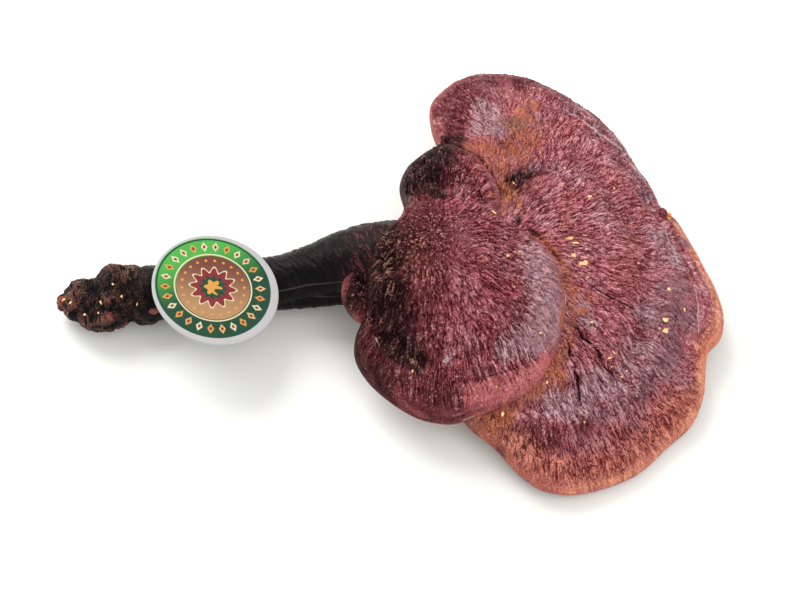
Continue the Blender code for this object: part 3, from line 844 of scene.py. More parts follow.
def cap_tree():
    """Geometry Nodes that raise wrinkles and lumps on a cap's smooth skin and sink its cracks."""
    floats = ((name, "Float") for name in (*CAP_INPUTS, "Seed"))
    tree, given = new_tree("Cap skin", (("Focus", "Vector"), ("Second Focus", "Vector"), *floats))
    place = attribute(tree, "place", vector=True)
    swayed = vector_sum(place, sway(place, *SLOW_SWAY))
    swayed = vector_sum(swayed, sway(place, *QUICK_SWAY))
    foci = given["Focus"], given["Second Focus"]
    ridge = cap_wrinkles(tree, place, swayed, foci, given["Wrinkle Width"], BROAD, given["Seed"])
    depth = cloud(place, *CAP_DEPTH_NOISE).rise(0.3, 0.65) * 0.7 + 0.45
    relief = (ridge - MIDDLE) * depth * given["Wrinkle Height"] * attribute(tree, "wrinkle")
    lumps = grain(place, 1.0 / given["Lump Width"], 3.0, 0.55)
    relief = relief + lumps * given["Lump Height"] * attribute(tree, "lumpy") * 2.0
    sunk = split(tree, "crack", 0.2).ramp(0.0, 0.4) * attribute(tree, "crack_width").ramp(0.05, 0.2)
    relief = relief - sunk * given["Crack Depth"]
    shaped = raised(tree, given["Geometry"], relief)
    shaped = stored(tree, shaped, "swayed", swayed, "FLOAT_VECTOR")
    shaped = stored(tree, shaped, "ridge", ridge)
    return end_tree(tree, shaped, given["Material"])


def stem_tree():
    """Geometry Nodes that raise the stem's cross wrinkles and the lumps of its root end."""
    tree, given = new_tree("Stem skin", tuple((name, "Float") for name in STEM_INPUTS))
    place = attribute(tree, "place", vector=True)
    root = attribute(tree, "root")
    ridge = cross_wrinkles(place, given["Wrinkle Width"])
    relief = (ridge - MIDDLE) * given["Wrinkle Height"] * (1.0 - root * 0.3)
    per_mm = 1.0 / given["Lump Width"]
    bulges = grain(place, per_mm, 1.0).size().ramp(0.0, 0.2) - 0.5
    grit = grain(place, per_mm * GRIT_FINENESS, 3.0, 0.6)
    relief = relief + (bulges * 0.8 + grit * 1.3) * given["Lump Height"] * root
    relief = relief + grit * 0.35 * (1.0 - root)
    shaped = raised(tree, given["Geometry"], relief)
    shaped = stored(tree, shaped, "ridge", ridge)
    shaped = stored(tree, shaped, "bulge", bulges)
    return end_tree(tree, shaped, given["Material"])


def cross_wrinkles(place, width):
    """Slanted wrinkles across the stem: 0 in a valley and 1 on a crest."""
    x, y, z = parts(vector_sum(place, sway(place, *STEM_SWAY)))
    run = width * RIB_RUN
    drawn_out = joined(place.tree, (x + y * STEM_SLANT) / width, y / run, z / run)
    return grain(drawn_out, 1.0).size().ramp(0.0, BROAD)


def flake_tree():
    """Geometry Nodes that lay a ragged flake on each point of a mesh."""
    tree, given = new_tree("Torn chips", (("Raggedness", "Float"),))
    ball = add(tree, "GeometryNodeMeshIcoSphere", {"Radius": 1.0, "Subdivisions": 3}, "Mesh")
    x, y, _ = parts(add(tree, "GeometryNodeInputPosition"))
    ball = stored(tree, ball, "rim", (x * x + y * y) ** 0.5)
    outward = attribute(tree, "outward", vector=True)
    lying = add(tree, "FunctionNodeAlignRotationToVector", {"Vector": outward}, axis="Z")
    values = {"Axis": (0.0, 0.0, 1.0), "Angle": attribute(tree, "turn")}
    values = {"Rotation": lying, "Rotate By": add(tree, "FunctionNodeAxisAngleToRotation", values)}
    turned = add(tree, "FunctionNodeRotateRotation", values, rotation_space="LOCAL")
    values = {
        "Points": given["Geometry"],
        "Instance": ball,
        "Rotation": turned,
        "Scale": attribute(tree, "reach", vector=True),
    }
    laid = add(tree, "GeometryNodeInstanceOnPoints", values, "Instances")
    whole = add(tree, "GeometryNodeRealizeInstances", {"Geometry": laid})
    position = add(tree, "GeometryNodeInputPosition")
    stray = sway(vector_scaled(position, 1 / METRES), *CHIP_SWAY)
    offset = vector_scaled(stray, given["Raggedness"] * METRES)
    ragged = add(tree, "GeometryNodeSetPosition", {"Geometry": whole, "Offset": offset})
    return end_tree(tree, ragged, given["Material"])


def dress(obj, tree, values):
    """Runs a tree of nodes on the object and keeps the result as its own plain mesh."""
    modifier = obj.modifiers.new(tree.name, "NODES")
    modifier.node_group = tree
    for item in tree.interface.items_tree:
        if item.in_out == "INPUT" and item.name in values:
            modifier[item.identifier] = values[item.name]
    depsgraph = bpy.context.evaluated_depsgraph_get()
    result = bpy.data.meshes.new_from_object(
        obj.evaluated_get(depsgraph), preserve_all_data_layers=True, depsgraph=depsgraph
    )
    obj.modifiers.clear()
    plain = obj.data
    obj.data = result
    bpy.data.meshes.remove(plain)
    result.name = obj.name
    return obj


# Shapes


def curve(rows, axes, count, closed=False):
    """Count rows on a smooth curve through the given rows, evenly spaced by their first axes."""
    rows = np.array(rows, float)
    if closed:
        rows = np.vstack([rows[-1:], rows, rows[:2]])
    else:
        rows = np.vstack([2 * rows[0] - rows[1], rows, 2 * rows[-1] - rows[-2]])
    before, here, after, last = rows[:-3], rows[1:-2], rows[2:-1], rows[3:]
    t = (np.arange(CURVE_STEPS) / CURVE_STEPS)[:, None, None]
    fine = 0.5 * (
        2 * here
        + (after - before) * t
        + (2 * before - 5 * here + 4 * after - last) * t**2
        + (3 * here - before - 3 * after + last) * t**3
    )
    fine = fine.transpose(1, 0, 2).reshape(-1, rows.shape[1])
    return evenly(np.vstack([fine, rows[-2:-1]]), axes, count)


def evenly(path, axes, count):
    """Count rows at even distances along a path, measured over its first axes."""
    steps = np.linalg.norm(np.diff(path[:, :axes], axis=0), axis=1)
    travelled = np.concatenate([[0.0], np.cumsum(steps)])
    wanted = np.linspace(0.0, travelled[-1], count)
    return np.column_stack([np.interp(wanted, travelled, axis) for axis in path.T])


def smooth_step(value, low, high):
    t = np.clip((value - low) / (high - low), 0.0, 1.0)
    return t * t * (3 - 2 * t)


def rib_noise(cap, around, share):
    """Folds along the ribs: noise on a circle, so that the last rib meets the first."""
    turn = 2 * math.pi * around
    radius = cap.folds / (2 * math.pi)
    return np.array(
        [
            noise.noise((radius * math.cos(a), radius * math.sin(a), cap.seed + FOLD_STRETCH * s))
            for a, s in zip(turn, np.broadcast_to(share, turn.shape))
        ]
    )


def lip_drop(cap, inset):
    """How far the rounded lip falls below the smooth surface, by the distance in from the margin."""
    inward = np.clip(1 - inset / cap.lip, 0.0, 1.0)
    return cap.lip * (1 - np.sqrt(1 - inward**2))


def cap_ring(cap, margin, share, lip_inset, top):
    """One ring: its places, and their insets from the margin."""
    centre = np.array(cap.growth_point)
    spoke = margin[:, :2] - centre
    reach = np.linalg.norm(spoke, axis=1)
    out = share * (1 - lip_inset / reach)
    place = centre + spoke * out[:, None]
    inset = reach * (1 - out)
    edge = margin[:, 2]
    if top:
        crest = edge + cap.lip
        height = crest + (cap.crown - crest) * (1 - out**cap.top_curve)
        for share_at, rise, width in cap.bands:
            height = height + rise * np.exp(-(((out - share_at) / width) ** 2))
        for x, y, rise, spread in cap.swellings:
            away = (place[:, 0] - x) ** 2 + (place[:, 1] - y) ** 2
            height = height + rise * np.exp(-away / spread**2) * smooth_step(inset, 0.0, LIP_FADE)
        around = np.arange(len(margin)) / len(margin)
        depth = cap.fold_depth * smooth_step(out, *FOLD_SHARES)
        height = height + depth * rib_noise(cap, around, out) - lip_drop(cap, inset)
    else:
        base = edge - cap.lip
        height = base + (cap.hollow - base) * (1 - out**cap.under_curve) + lip_drop(cap, inset)
    return np.column_stack([place, height]), inset


def cap_layout(cap, grid):
    """The rings of a cap's skin from the crown over the lip to the hollow: share, lip inset, top or not."""
    hidden = np.linspace(0.0, grid.shown_from, grid.hidden + 1)[1:]
    shown = np.linspace(grid.shown_from, 1.0, grid.shown + 1)[1:]
    lip = [cap.lip * (1 - math.sin(math.pi / 2 * step / grid.lip)) for step in range(1, grid.lip)]
    under = np.linspace(1.0, 0.0, grid.under + 1)[:-1]
    rows = [(share, cap.lip, True) for share in (*hidden, *shown)]
    rows += [(1.0, inset, True) for inset in (*lip, 0.0)]
    rows += [(1.0, inset, False) for inset in reversed(lip)]
    rows += [(share, cap.lip, False) for share in under]
    return rows


def nearest_stroke(strokes, x, y):
    """Distance to the nearest stroke, below 0 on its left, and its half width, which narrows to its ends."""
    away, width = np.full_like(x, FAR), np.zeros_like(x)
    for half_width, points in strokes:
        points = np.array(points, float)
        steps = np.linalg.norm(np.diff(points, axis=0), axis=1)
        travelled = np.concatenate([[0.0], np.cumsum(steps)])
        legs = zip(points, np.diff(points, axis=0), travelled, steps)
        for (from_x, from_y), (dx, dy), start, step in legs:
            dx, dy = dx / step, dy / step
            along = np.clip((x - from_x) * dx + (y - from_y) * dy, 0.0, step)
            apart = np.hypot(x - from_x - along * dx, y - from_y - along * dy)
            side = np.where((x - from_x) * dy < (y - from_y) * dx, -1.0, 1.0)
            nearer = apart < np.abs(away)
            share = (start + along) / travelled[-1]
            away = np.where(nearer, apart * side, away)
            width = np.where(nearer, half_width * np.sqrt(4 * share * (1 - share)), width)
    return away, np.where(np.abs(away) > STROKE_REACH, 0.0, width)


def painted(marks, x, y, inset, bearing):
    """How strongly a finish shows at each place, 0 to 1."""
    bare = np.ones_like(x)
    for at_x, at_y, radius in marks.patches:
        bare *= 1 - np.exp(-((x - at_x) ** 2 + (y - at_y) ** 2) / radius**2)
    for half_width, points in marks.strokes:
        away, _ = nearest_stroke(((half_width, points),), x, y)
        bare *= 1 - np.exp(-((away / half_width) ** 2))
    for start, end, full, gone, strength in marks.rims:
        turned, span = (bearing - start) % 360, (end - start) % 360
        inside = smooth_step(turned, 0.0, RIM_SOFTNESS) * smooth_step(span - turned, 0.0, RIM_SOFTNESS)
        bare *= 1 - strength * inside * (1 - smooth_step(inset, full, gone))
    return 1 - bare


def sheet_object(name, rings, first, last, layers):
    """A closed mesh through the rings, drawn to a point at each end, that keeps its layers of values."""
    rings = np.asarray(rings)
    count, sectors = rings.shape[:2]
    places = np.vstack([rings.reshape(-1, 3), [first, last]])
    index = np.arange(count * sectors).reshape(count, sectors)
    right = np.roll(index, -1, axis=1)
    quads = np.stack([index[:-1], index[1:], right[1:], right[:-1]], axis=-1).reshape(-1, 4)
    poles = len(places) - 2, len(places) - 1
    fans = [
        np.stack([np.full(sectors, poles[0]), index[0], right[0]], axis=-1),
        np.stack([np.full(sectors, poles[1]), right[-1], index[-1]], axis=-1),
    ]
    faces = [*quads.tolist(), *fans[0].tolist(), *fans[1].tolist()]
    if signed_volume(places, faces) < 0:
        faces = [face[::-1] for face in faces]
    mesh = bpy.data.meshes.new(name)
    mesh.from_pydata(places * METRES, [], faces)
    for layer, values in layers.items():
        values = np.asarray(values, float)
        vector = values.ndim == 3
        flat = values.reshape(-1, 3) if vector else values.reshape(-1)
        store(mesh, layer, np.concatenate([flat, flat[:1], flat[-1:]]))
    mesh.shade_smooth()
    return linked(name, mesh)


def store(mesh, layer, values):
    """Keeps a number or a vector for each vertex under a name."""
    values = np.asarray(values, np.float32)
    vector = values.ndim == 2
    data = mesh.attributes.new(layer, "FLOAT_VECTOR" if vector else "FLOAT", "POINT").data
    data.foreach_set("vector" if vector else "value", values.ravel())


def linked(name, data):
    obj = bpy.data.objects.new(name, data)
    bpy.context.scene.collection.objects.link(obj)
    return obj


def signed_volume(places, faces):
    """Six times the signed volume inside the faces, below zero when they point inwards."""
    corners = np.array([(f[0], f[i], f[i + 1]) for f in faces for i in range(1, len(f) - 1)])
    a, b, c = (places[corners[:, k]] for k in range(3))
    return np.einsum("ij,ij->", a, np.cross(b, c))


def cap_sheet(cap, crust, wrinkle):
    """A cap's smooth skin, with its marks, the strength of its wrinkles and its cracks and lines on it."""
    grid = GRIDS[cap.name]
    margin = curve(cap.margin, 2, grid.sectors + 1, closed=True)[:-1]
    rows = cap_layout(cap, grid)
    rings, inset = (np.array(part) for part in zip(*(cap_ring(cap, margin, *row) for row in rows)))
    top = np.array([row[2] for row in rows])[:, None]
    x, y = rings[..., 0], rings[..., 1]
    for rise, half_width, points in crust.relief:
        away, _ = nearest_stroke(((half_width, points),), x, y)
        ridge = rise * np.exp(-((away / half_width) ** 2))
        rings[..., 2] += ridge * top * smooth_step(inset, 0.0, RELIEF_FADE)
    dx, dy = x - cap.growth_point[0], y - cap.growth_point[1]
    bearing = np.degrees(np.arctan2(dy, dx))
    layers = {
        kind: painted(crust.marks.get(kind, Marks()), x, y, inset, bearing) * top for kind in MARK_KINDS
    }
    layers["under"] = np.where(top, 0.0, 1.0) * smooth_step(inset, *UNDER_FADE)
    layers["wrinkle"] = wrinkle(x, y, inset, layers) * top
    layers["lumpy"] = smooth_step(inset, *LUMP_FADE) * (UNDER_LUMPS + TOP_LUMPS * top)
    layers["inset"] = inset
    lobe_x, lobe_y, reach = cap.lobe
    away = (x - lobe_x) ** 2 + (y - lobe_y) ** 2
    layers["lobe"] = np.exp(-away / reach**2) if reach else np.zeros_like(x)
    layers["knotty"] = 1 - smooth_step(np.hypot(dx, dy), *cap.knotty)
    for name, strokes in (("crack", crust.cracks), ("line", crust.lines)):
        away, width = nearest_stroke(strokes, x, y)
        layers[f"{name}_away"], layers[f"{name}_width"] = away, width * top
    layers["place"] = rings
    first, last = (*cap.growth_point, cap.crown), (*cap.growth_point, cap.hollow)
    return sheet_object(f"{cap.name}_skin", rings, first, last, layers)


def stem_radius(x, radius, angle):
    """The stem's radius at a place along it and an angle round it, with its lumps and its furrow."""
    for lump_x, lump_angle, rise, reach, width in STEM_LUMPS:
        turned = (angle - lump_angle + 180.0) % 360.0 - 180.0
        radius = radius + rise * np.exp(-(((x - lump_x) / reach) ** 2) - (turned / width) ** 2)
    turned = (angle - FURROW_ANGLE + 180.0) % 360.0 - 180.0
    deepening = smooth_step(x, FURROW_FROM, FURROW_TO)
    return radius - FURROW_DEPTH * deepening * np.exp(-((turned / FURROW_WIDTH) ** 2))


def stem_sheet():
    """The stem's smooth skin, with the values that its finish reads."""
    line = curve(STEM_LINE, 3, STEM_RINGS)
    along = np.gradient(line[:, :3], axis=0)
    along /= np.linalg.norm(along, axis=1)[:, None]
    rear = np.cross((0.0, 0.0, 1.0), along)
    rear /= np.linalg.norm(rear, axis=1)[:, None]
    up = np.cross(along, rear)
    angles = np.arange(STEM_SIDES) * 360.0 / STEM_SIDES
    turn = np.radians(angles)[None, :, None]
    reach = stem_radius(line[:, 0][:, None], line[:, 3][:, None], angles[None, :])[..., None]
    rings = line[:, None, :3] + reach * (np.cos(turn) * rear[:, None] + np.sin(turn) * up[:, None])
    x, y, _ = (rings[..., k] for k in range(3))
    layers = {
        "root": 1 - smooth_step(x, *ROOT_FADE),
        "near_caps": smooth_step(x, *CAPS_FADE),
        "place": rings,
    }
    layers["line_away"], layers["line_width"] = nearest_stroke(STEM_LINES, x, y)
    first = line[0, :3] - along[0] * line[0, 3] * STEM_BLUNTNESS
    last = line[-1, :3] + along[-1] * line[-1, 3] * STEM_BLUNTNESS
    return sheet_object("stem_skin", rings, first, last, layers)


def flakes(skin, node, material):
    """Lays the torn chips and nubs of one node on its dressed skin, as one mesh."""
    faces = BVHTree.FromObject(skin, bpy.context.evaluated_depsgraph_get())
    chip = sizes().chip_thickness / METRES
    rows = [*((*row, chip, 0.0) for row in CHIPS[node]), *NUBS[node]]
    places, normals = [], []
    for x, y, *_ in rows:
        place, normal, _, _ = faces.ray_cast(Vector((x, y, SKY)) * METRES, Vector((0.0, 0.0, -1.0)))
        if place is None:
            place, normal, _, _ = faces.find_nearest(Vector((x, y, EDGE_HEIGHT)) * METRES)
        places.append(place)
        normals.append(normal)
    mesh = bpy.data.meshes.new(f"{node}_flakes")
    mesh.from_pydata(places, [], [])
    _, _, length_along, width, turn, thickness, crust = zip(*rows)
    store(mesh, "outward", normals)
    store(mesh, "turn", np.radians(turn))
    store(mesh, "reach", np.column_stack([length_along, width, thickness]) * METRES / 2)
    store(mesh, "crust", crust)
    values = {"Raggedness": sizes().chip_raggedness / METRES, "Material": material}
    return dress(linked(mesh.name, mesh), flake_tree(), values)


# Finishes. The bare weights in them were set one by one

# Noises: lumps to the millimetre, detail, roughness
SPECKLE = (1.7, 4.0, 0.75)
TATTER = (0.28, 5.0, 0.68)
BLOTCH = (0.1, 4.0, 0.6)
STEM_GRIT = (1.9, 4.0, 0.65)
STEM_TATTER = (0.35, 5.0, 0.7)
FLESH_SPECKLE = (1.6, 3.0, 0.6)
STRAND_DETAIL = (1.0, 3.0, 0.6)  # on a place that is stretched
KNOTS_PER_MM = 0.6
PORES_PER_MM = 2.6
STREAK_STRETCH = (0.12, 0.12, 1.1)  # lumps to the millimetre by x, by y and in from the rim
STRAND_STRETCH = (1.1, 0.35, 0.35)  # the same by x, y and z
FINE_SEED = 0.5  # sets the fine wrinkles apart from the broad ones
BLOTCHED = {"large_cap": 0.9, "small_cap": 0.45, "ear": 0.45}  # how strongly the paler blotches show

# Marks in the order that they are laid, the last on top
LAID_MARKS = ("maroon", "bloom_and_sheen", "brown", "pink", "rust", "salmon", "slate", "dark", "dust")


def new_material(name):
    material = bpy.data.materials.new(name)
    material.use_nodes = True
    return material, material.node_tree, material.node_tree.nodes["Principled BSDF"]


def coat(shader, body, roughness, specular):
    """Sets a shader's colour, how rough it is and how much it shines."""
    feed(shader.inputs["Base Color"], body)
    feed(shader.inputs["Roughness"], roughness)
    shader.inputs["Specular IOR Level"].default_value = specular


def bump(height, shader):
    """Feeds a height in millimetres to a shader as fine relief."""
    values = {"Height": height, "Distance": METRES, "Strength": 1.0}
    feed(shader.inputs["Normal"], add(height.tree, "ShaderNodeBump", values))


def cap_finish(cap):
    """The lacquered crust of a cap, wine red with its marks, and the pore layer under it."""
    inks, widths = colours(), sizes()
    body, valley = (inks.wine, inks.wine_valley) if cap is LARGE_CAP else (inks.deep, inks.deep_valley)
    material, tree, shader = new_material(f"{cap.name}_crust")
    place = attribute(tree, "place", vector=True)
    swayed = vector_sum(attribute(tree, "swayed", vector=True), sway(place, *FINE_SWAY))
    foci = (cap.growth_point, cap.second_focus) if cap.lobe[2] else (cap.growth_point,)
    width, seed = widths.fine_width / METRES, widths.seed + FINE_SEED
    fine = cap_wrinkles(tree, place, swayed, foci, width, SHARP, seed)
    fine = fine.math("MINIMUM", fine, knots(place, KNOTS_PER_MM, SHARP) * 0.35 + 0.65)
    ridge = attribute(tree, "ridge")
    strength = attribute(tree, "wrinkle")
    speckle = grain(place, *SPECKLE)
    ragged = grain(place, *TATTER)
    x, y, _ = parts(place)
    along_rim = stretched(tree, (x, y, attribute(tree, "inset")), STREAK_STRETCH)
    along_rim = grain(along_rim, *STRAND_DETAIL)

    blotch = cloud(place, *BLOTCH).rise(0.42, 0.66) * BLOTCHED[cap.name]
    body = blend(blotch, body, inks.mauve)
    valley = blend(blotch, valley, inks.mauve_valley)
    edge = ragged * 1.3 + (fine - 0.5) * 0.3 + (ridge - 0.5) * 0.3 + speckle * 0.9
    shares = {}
    for kind in LAID_MARKS:
        torn = edge * (0.65 if kind == "dark" else 1.0)
        share = (attribute(tree, kind) + torn).rise(0.12, 0.95) * attribute(tree, kind).ramp(0.0, 0.35)
        if kind == "dust":
            share = share * (ridge * 0.4 + fine * 0.3 + ragged * 1.6 + 0.25).ramp(0.0, 1.0)
        shares[kind] = share
        body = blend(share, body, getattr(inks, kind))
        valley = blend(share, valley, getattr(inks, f"{kind}_valley"))

    dull = shares["dust"].math("MAXIMUM", shares["dust"], shares["rust"] * 0.6)
    streaks = attribute(tree, "streaks")
    wrinkled = (fine * 0.65 + ridge * 0.35) * strength + (1.0 - strength) * 0.6 + speckle * 1.9
    tone = between(streaks * 0.6, wrinkled, along_rim * 2.6 + 0.5 + speckle * 0.9) - shares["dark"] * 0.25
    tone = tone.ramp(0.2, 0.88)
    # Painted shade: the valleys of the wrinkles take the darker valley colour
    crust = blend(tone, valley, body)
    # Painted highlight on the crests of the wrinkles and along the rim streaks, less on dust, rust and dark
    # crust
    highlight_peak = (fine * 0.35 + ridge * 0.3 + speckle * 2.8 + streaks * along_rim * 2.0).rise(0.55, 1.2)
    shine = (1.0 - dull) * (1.0 - shares["dark"] * 0.75) * (strength * 0.55 + 0.3)
    crust = blend(highlight_peak * shine, crust, inks.glint)
    # Tan flecks: real where the tan marks lie; on the dark crust they are the crests' painted highlight
    flecks = (ridge * 0.5 + fine * 0.4 + speckle * 2.4 + attribute(tree, "tan") * 0.3).rise(0.8, 1.5)
    tan_and_highlight = attribute(tree, "tan").math("MAXIMUM", attribute(tree, "tan"), shares["dark"] * 0.9)
    crust = blend(flecks * tan_and_highlight, crust, inks.tan_fleck)
    # Pale lines: growth lines and scuffs, and on the small cap painted highlights on a ridge and an edge
    line = (split(tree, "line", 0.06) + ragged * 0.8).rise(0.0, 0.25)
    line = line * attribute(tree, "line_width").ramp(0.02, 0.12)
    crust = blend(line * 0.75, crust, inks.pale_line_and_highlight)
    crack = (split(tree, "crack", -0.12) + ragged * 0.5).rise(0.0, 0.25)
    crack = crack * attribute(tree, "crack_width").ramp(0.04, 0.16)
    crust = blend(crack, crust, inks.crack)
    pores = add(tree, "ShaderNodeTexVoronoi", {"Vector": place, "Scale": PORES_PER_MM}, "Distance")
    pores = pores.rise(0.1, 0.42)
    under = attribute(tree, "under")
    body = blend(under, crust, blend(pores, inks.under_pore, inks.under))
    coat(shader, body, 0.5 + dull * 0.3 + under * 0.3, 0.05)
    height = fine * (strength * 0.3 + 0.1) + speckle * 0.4 - crack * 0.35 + pores * under * 0.15
    bump(height + streaks * along_rim * 0.3, shader)
    return material


def stem_finish():
    """The stem's nearly black lacquered crust, and the rough brown root end."""
    inks, widths = colours(), sizes()
    material, tree, shader = new_material("stem_crust")
    place = attribute(tree, "place", vector=True)
    root = attribute(tree, "root")
    near_caps = attribute(tree, "near_caps")
    ridge, bulge = attribute(tree, "ridge"), attribute(tree, "bulge")
    fine = cross_wrinkles(place, widths.fine_width / METRES)
    grit = grain(place, *STEM_GRIT)
    ragged = grain(place, *STEM_TATTER)
    body = blend((fine * ridge + grit).rise(0.2, 1.0), inks.stem, inks.stem_crest)
    maroon = blend((fine * 0.4 + ridge * 0.3 + grit * 1.6).rise(0.3, 1.1), inks.dark_valley, inks.maroon)
    body = blend((near_caps + ragged * 0.6).rise(0.4, 1.1) * 0.6, body, maroon)
    flecks = (ridge * 0.5 + grit * 2.4 + ragged).rise(0.7, 1.3) * near_caps * 0.6
    body = blend(flecks, body, inks.tan_fleck)
    bent = parts(vector_sum(place, sway(place, *STRAND_SWAY)))
    strand = grain(stretched(tree, bent, STRAND_STRETCH), *STRAND_DETAIL)
    tone = (bulge * 0.4 + ragged * 1.3 + grit * 1.5 + strand * 2.2 + 0.12).rise(0.0, 1.1)
    body = blend(root, body, blend(tone, inks.stem, inks.root_brown))
    bits = (ragged * 0.9 + grit * 1.5 + bulge * 0.2).rise(0.38, 0.6) * root
    body = blend(bits, body, inks.root_bit)
    fibre = (bulge * 0.5 + grit * 1.6 - ragged * 1.6 + 0.4) * (strand.size() * -28.0 + 1.0).ramp(0.0, 1.0)
    body = blend(fibre.ramp(0.1, 0.9) * root * 0.75, body, inks.tan_fleck)
    # Painted highlight: a faint pale line along the upper strand
    line = split(tree, "line", 0.05).rise(0.0, 0.2) * attribute(tree, "line_width").ramp(0.02, 0.1)
    body = blend(line * 0.05, body, inks.glint)
    coat(shader, body, 0.34 + root * 0.06 + grit * 0.2, 0.07)
    bump(fine * 0.08 + grit * (root * 0.3 + 0.03) + root * ragged * 0.9, shader)
    return material


# The label's print: places by their distance in from the rim of the printed disc, or out from its middle
SOFT_EDGE = 0.08  # half the softness of a printed edge
PRINT_DROP = 0.66  # how far the print sits down, as a share of how far it sits to the side
EDGE_LINE = (0.5, 0.28)  # inset, half width
TAN_LINE = (6.0, 0.22)
TAN_INSET = 6.5
LOZENGES, LOZENGE_INSET = 26, 3.2
LOZENGE = (3.4, 2.1)  # length, width
LOZENGE_HEART = (1.6, 1.0)
DOTS, DOT_INSET, DOT = 22, 8.2, (1.1, 1.1)
# The rosette, each layer over the last: petals, radius, their depth, colour
ROSETTE = (
    (12.0, 6.6, 1.0, "label_cream"),
    (12.0, 6.1, 1.0, "label_red"),
    (12.0, 3.9, 0.6, "label_dark"),
    (6.0, 2.4, 0.5, "label_gold"),
)


class Motifs:
    """Places on the label's print, as a radius and an angle about the middle of the printed disc."""

    def __init__(self, x, y):
        self.reach = (x * x + y * y) ** 0.5
        self.angle = x.math("ARCTAN2", y, x)

    def disc(self, outer):
        return self.reach.rise(outer + 0.1, outer - 0.1)

    def line(self, radius, half_width):
        return (self.reach - radius).size().rise(half_width + SOFT_EDGE, half_width - SOFT_EDGE)

    def beads(self, count, radius, length, width):
        """A ring of lozenges, and which of them is which."""
        turns = self.angle * (count / (2 * math.pi))
        number = turns.math("FLOOR")
        across = (turns - number - 0.5).size() * (2 * math.pi * radius / count)
        away = (self.reach - radius).size()
        return (across / width + away / length).rise(0.5 + SOFT_EDGE, 0.5 - SOFT_EDGE), number

    def petals(self, count, outer, depth):
        wave = (self.angle * count).math("COSINE") * depth
        return (self.reach - wave).rise(outer + 0.1, outer - 0.1)


def label_finish():
    """Printed paper: a plain border, a green field ringed with lozenges, and a rosette on a tan disc."""
    inks, widths = colours(), sizes()
    material, tree, shader = new_material("label_print")
    spot = attribute(tree, "print", vector=True)
    across, up, side = parts(spot)
    shift, radius = widths.print_shift / METRES, widths.print_radius / METRES
    x, y = across + shift, up - shift * PRINT_DROP
    motifs = Motifs(x, y)
    slope = (y - x * 0.6) / radius
    green = blend(slope.rise(-0.2, 0.9), inks.label_dark, inks.label_light)
    art = blend(motifs.disc(radius), inks.label_paper, green)
    inset, half_width = EDGE_LINE
    art = blend(motifs.line(radius - inset, half_width), art, inks.label_dark)
    lozenges, number = motifs.beads(LOZENGES, radius - LOZENGE_INSET, *LOZENGE)
    takes_turns = (number * math.pi).math("SINE", number * 2.1).rise(-0.1, 0.1)
    art = blend(lozenges, art, blend(takes_turns, inks.label_gold, inks.label_cream))
    hearts, _ = motifs.beads(LOZENGES, radius - LOZENGE_INSET, *LOZENGE_HEART)
    art = blend(hearts, art, inks.label_red)
    inset, half_width = TAN_LINE
    art = blend(motifs.line(radius - inset, half_width), art, inks.label_cream)
    tan = blend((y / radius).rise(0.55, -0.55), inks.label_brown, inks.label_tan)
    art = blend(motifs.disc(radius - TAN_INSET), art, tan)
    dots, _ = motifs.beads(DOTS, radius - DOT_INSET, *DOT)
    art = blend(dots, art, inks.label_gold)
    for petals, outer, depth, name in ROSETTE:
        art = blend(motifs.petals(petals, outer, depth), art, getattr(inks, name))
    coat(shader, blend(side.rise(0.0, 0.1), inks.label_paper, art), 0.34, 0.3)
    bump(cloud(spot, 1.5) * 0.02 + cloud(spot, 0.12) * 0.5, shader)
    return material


def flake_finish():
    """Torn flesh of the mushroom, pale and dry with stained edges, and crust on the nubs."""
    inks = colours()
    material, tree, shader = new_material("torn_flesh")
    place = vector_scaled(add(tree, "ShaderNodeTexCoord", output="Object"), 1 / METRES)
    speckle = cloud(place, *FLESH_SPECKLE)
    stained = (attribute(tree, "rim") + (speckle - 0.5) * 1.4).rise(0.6, 1.05)
    flesh = blend(stained, inks.chip, inks.chip_edge)
    crust = blend(speckle.rise(0.35, 0.65), inks.maroon_valley, inks.maroon)
    coat(shader, blend(attribute(tree, "crust"), flesh, crust), 0.8, 0.15)
    bump(speckle * 0.25, shader)
    return material


# Operators


class ReishiPiece:
    """What the operators share."""

    bl_options = {"REGISTER", "UNDO"}

    def keep(self, node, *pieces):
        """Puts the pieces in the place of a node's solid."""
        for piece in pieces:
            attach(piece, BODY)
            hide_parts(node)


class REISHI_OT_stem(ReishiPiece, bpy.types.Operator):
    """Makes the stem's skin, from the torn root end into the caps"""

    bl_idname = "reishi.stem"
    bl_label = "Stem"

    def execute(self, context):
        wrinkles = in_millimetres("stem_", "Wrinkle Width", "Wrinkle Height")
        lumps = in_millimetres("knob_", "Lump Width", "Lump Height")
        stem = dress(stem_sheet(), stem_tree(), {**wrinkles, **lumps, "Material": stem_finish()})
        self.keep("stem", stem, flakes(stem, "stem", flake_finish()))
        return {"FINISHED"}


SMOOTH_BAND = (90.0, -22.0, 9.0, 22.0)  # x, y and their spreads, on the large cap
SMOOTH_THIRD = (34.0, 48.0)  # the small cap grows smooth between these x


def dressed_cap(cap, crust, wrinkle, material):
    """A cap's skin with its wrinkles, lumps and cracks raised."""
    values = {
        **in_millimetres("", *CAP_INPUTS),
        "Focus": (*cap.growth_point, 0.0),
        "Second Focus": (*cap.second_focus, 0.0),
        "Seed": float(sizes().seed),
        "Material": material,
    }
    return dress(cap_sheet(cap, crust, wrinkle), cap_tree(), values)


def large_cap_wrinkle(x, y, inset, layers):
    """Strong over the fan, weak on the smooth band at the right and along the rim."""
    band_x, band_y, spread_x, spread_y = SMOOTH_BAND
    smooth_side = np.exp(-(((x - band_x) / spread_x) ** 2) - ((y - band_y) / spread_y) ** 2)
    calm = np.maximum(layers["dust"] * 0.4, layers["salmon"] * 0.5)
    return 0.15 + 0.85 * smooth_step(inset, 0.0, 3.5) * (1 - 0.6 * smooth_side) * (1 - calm)


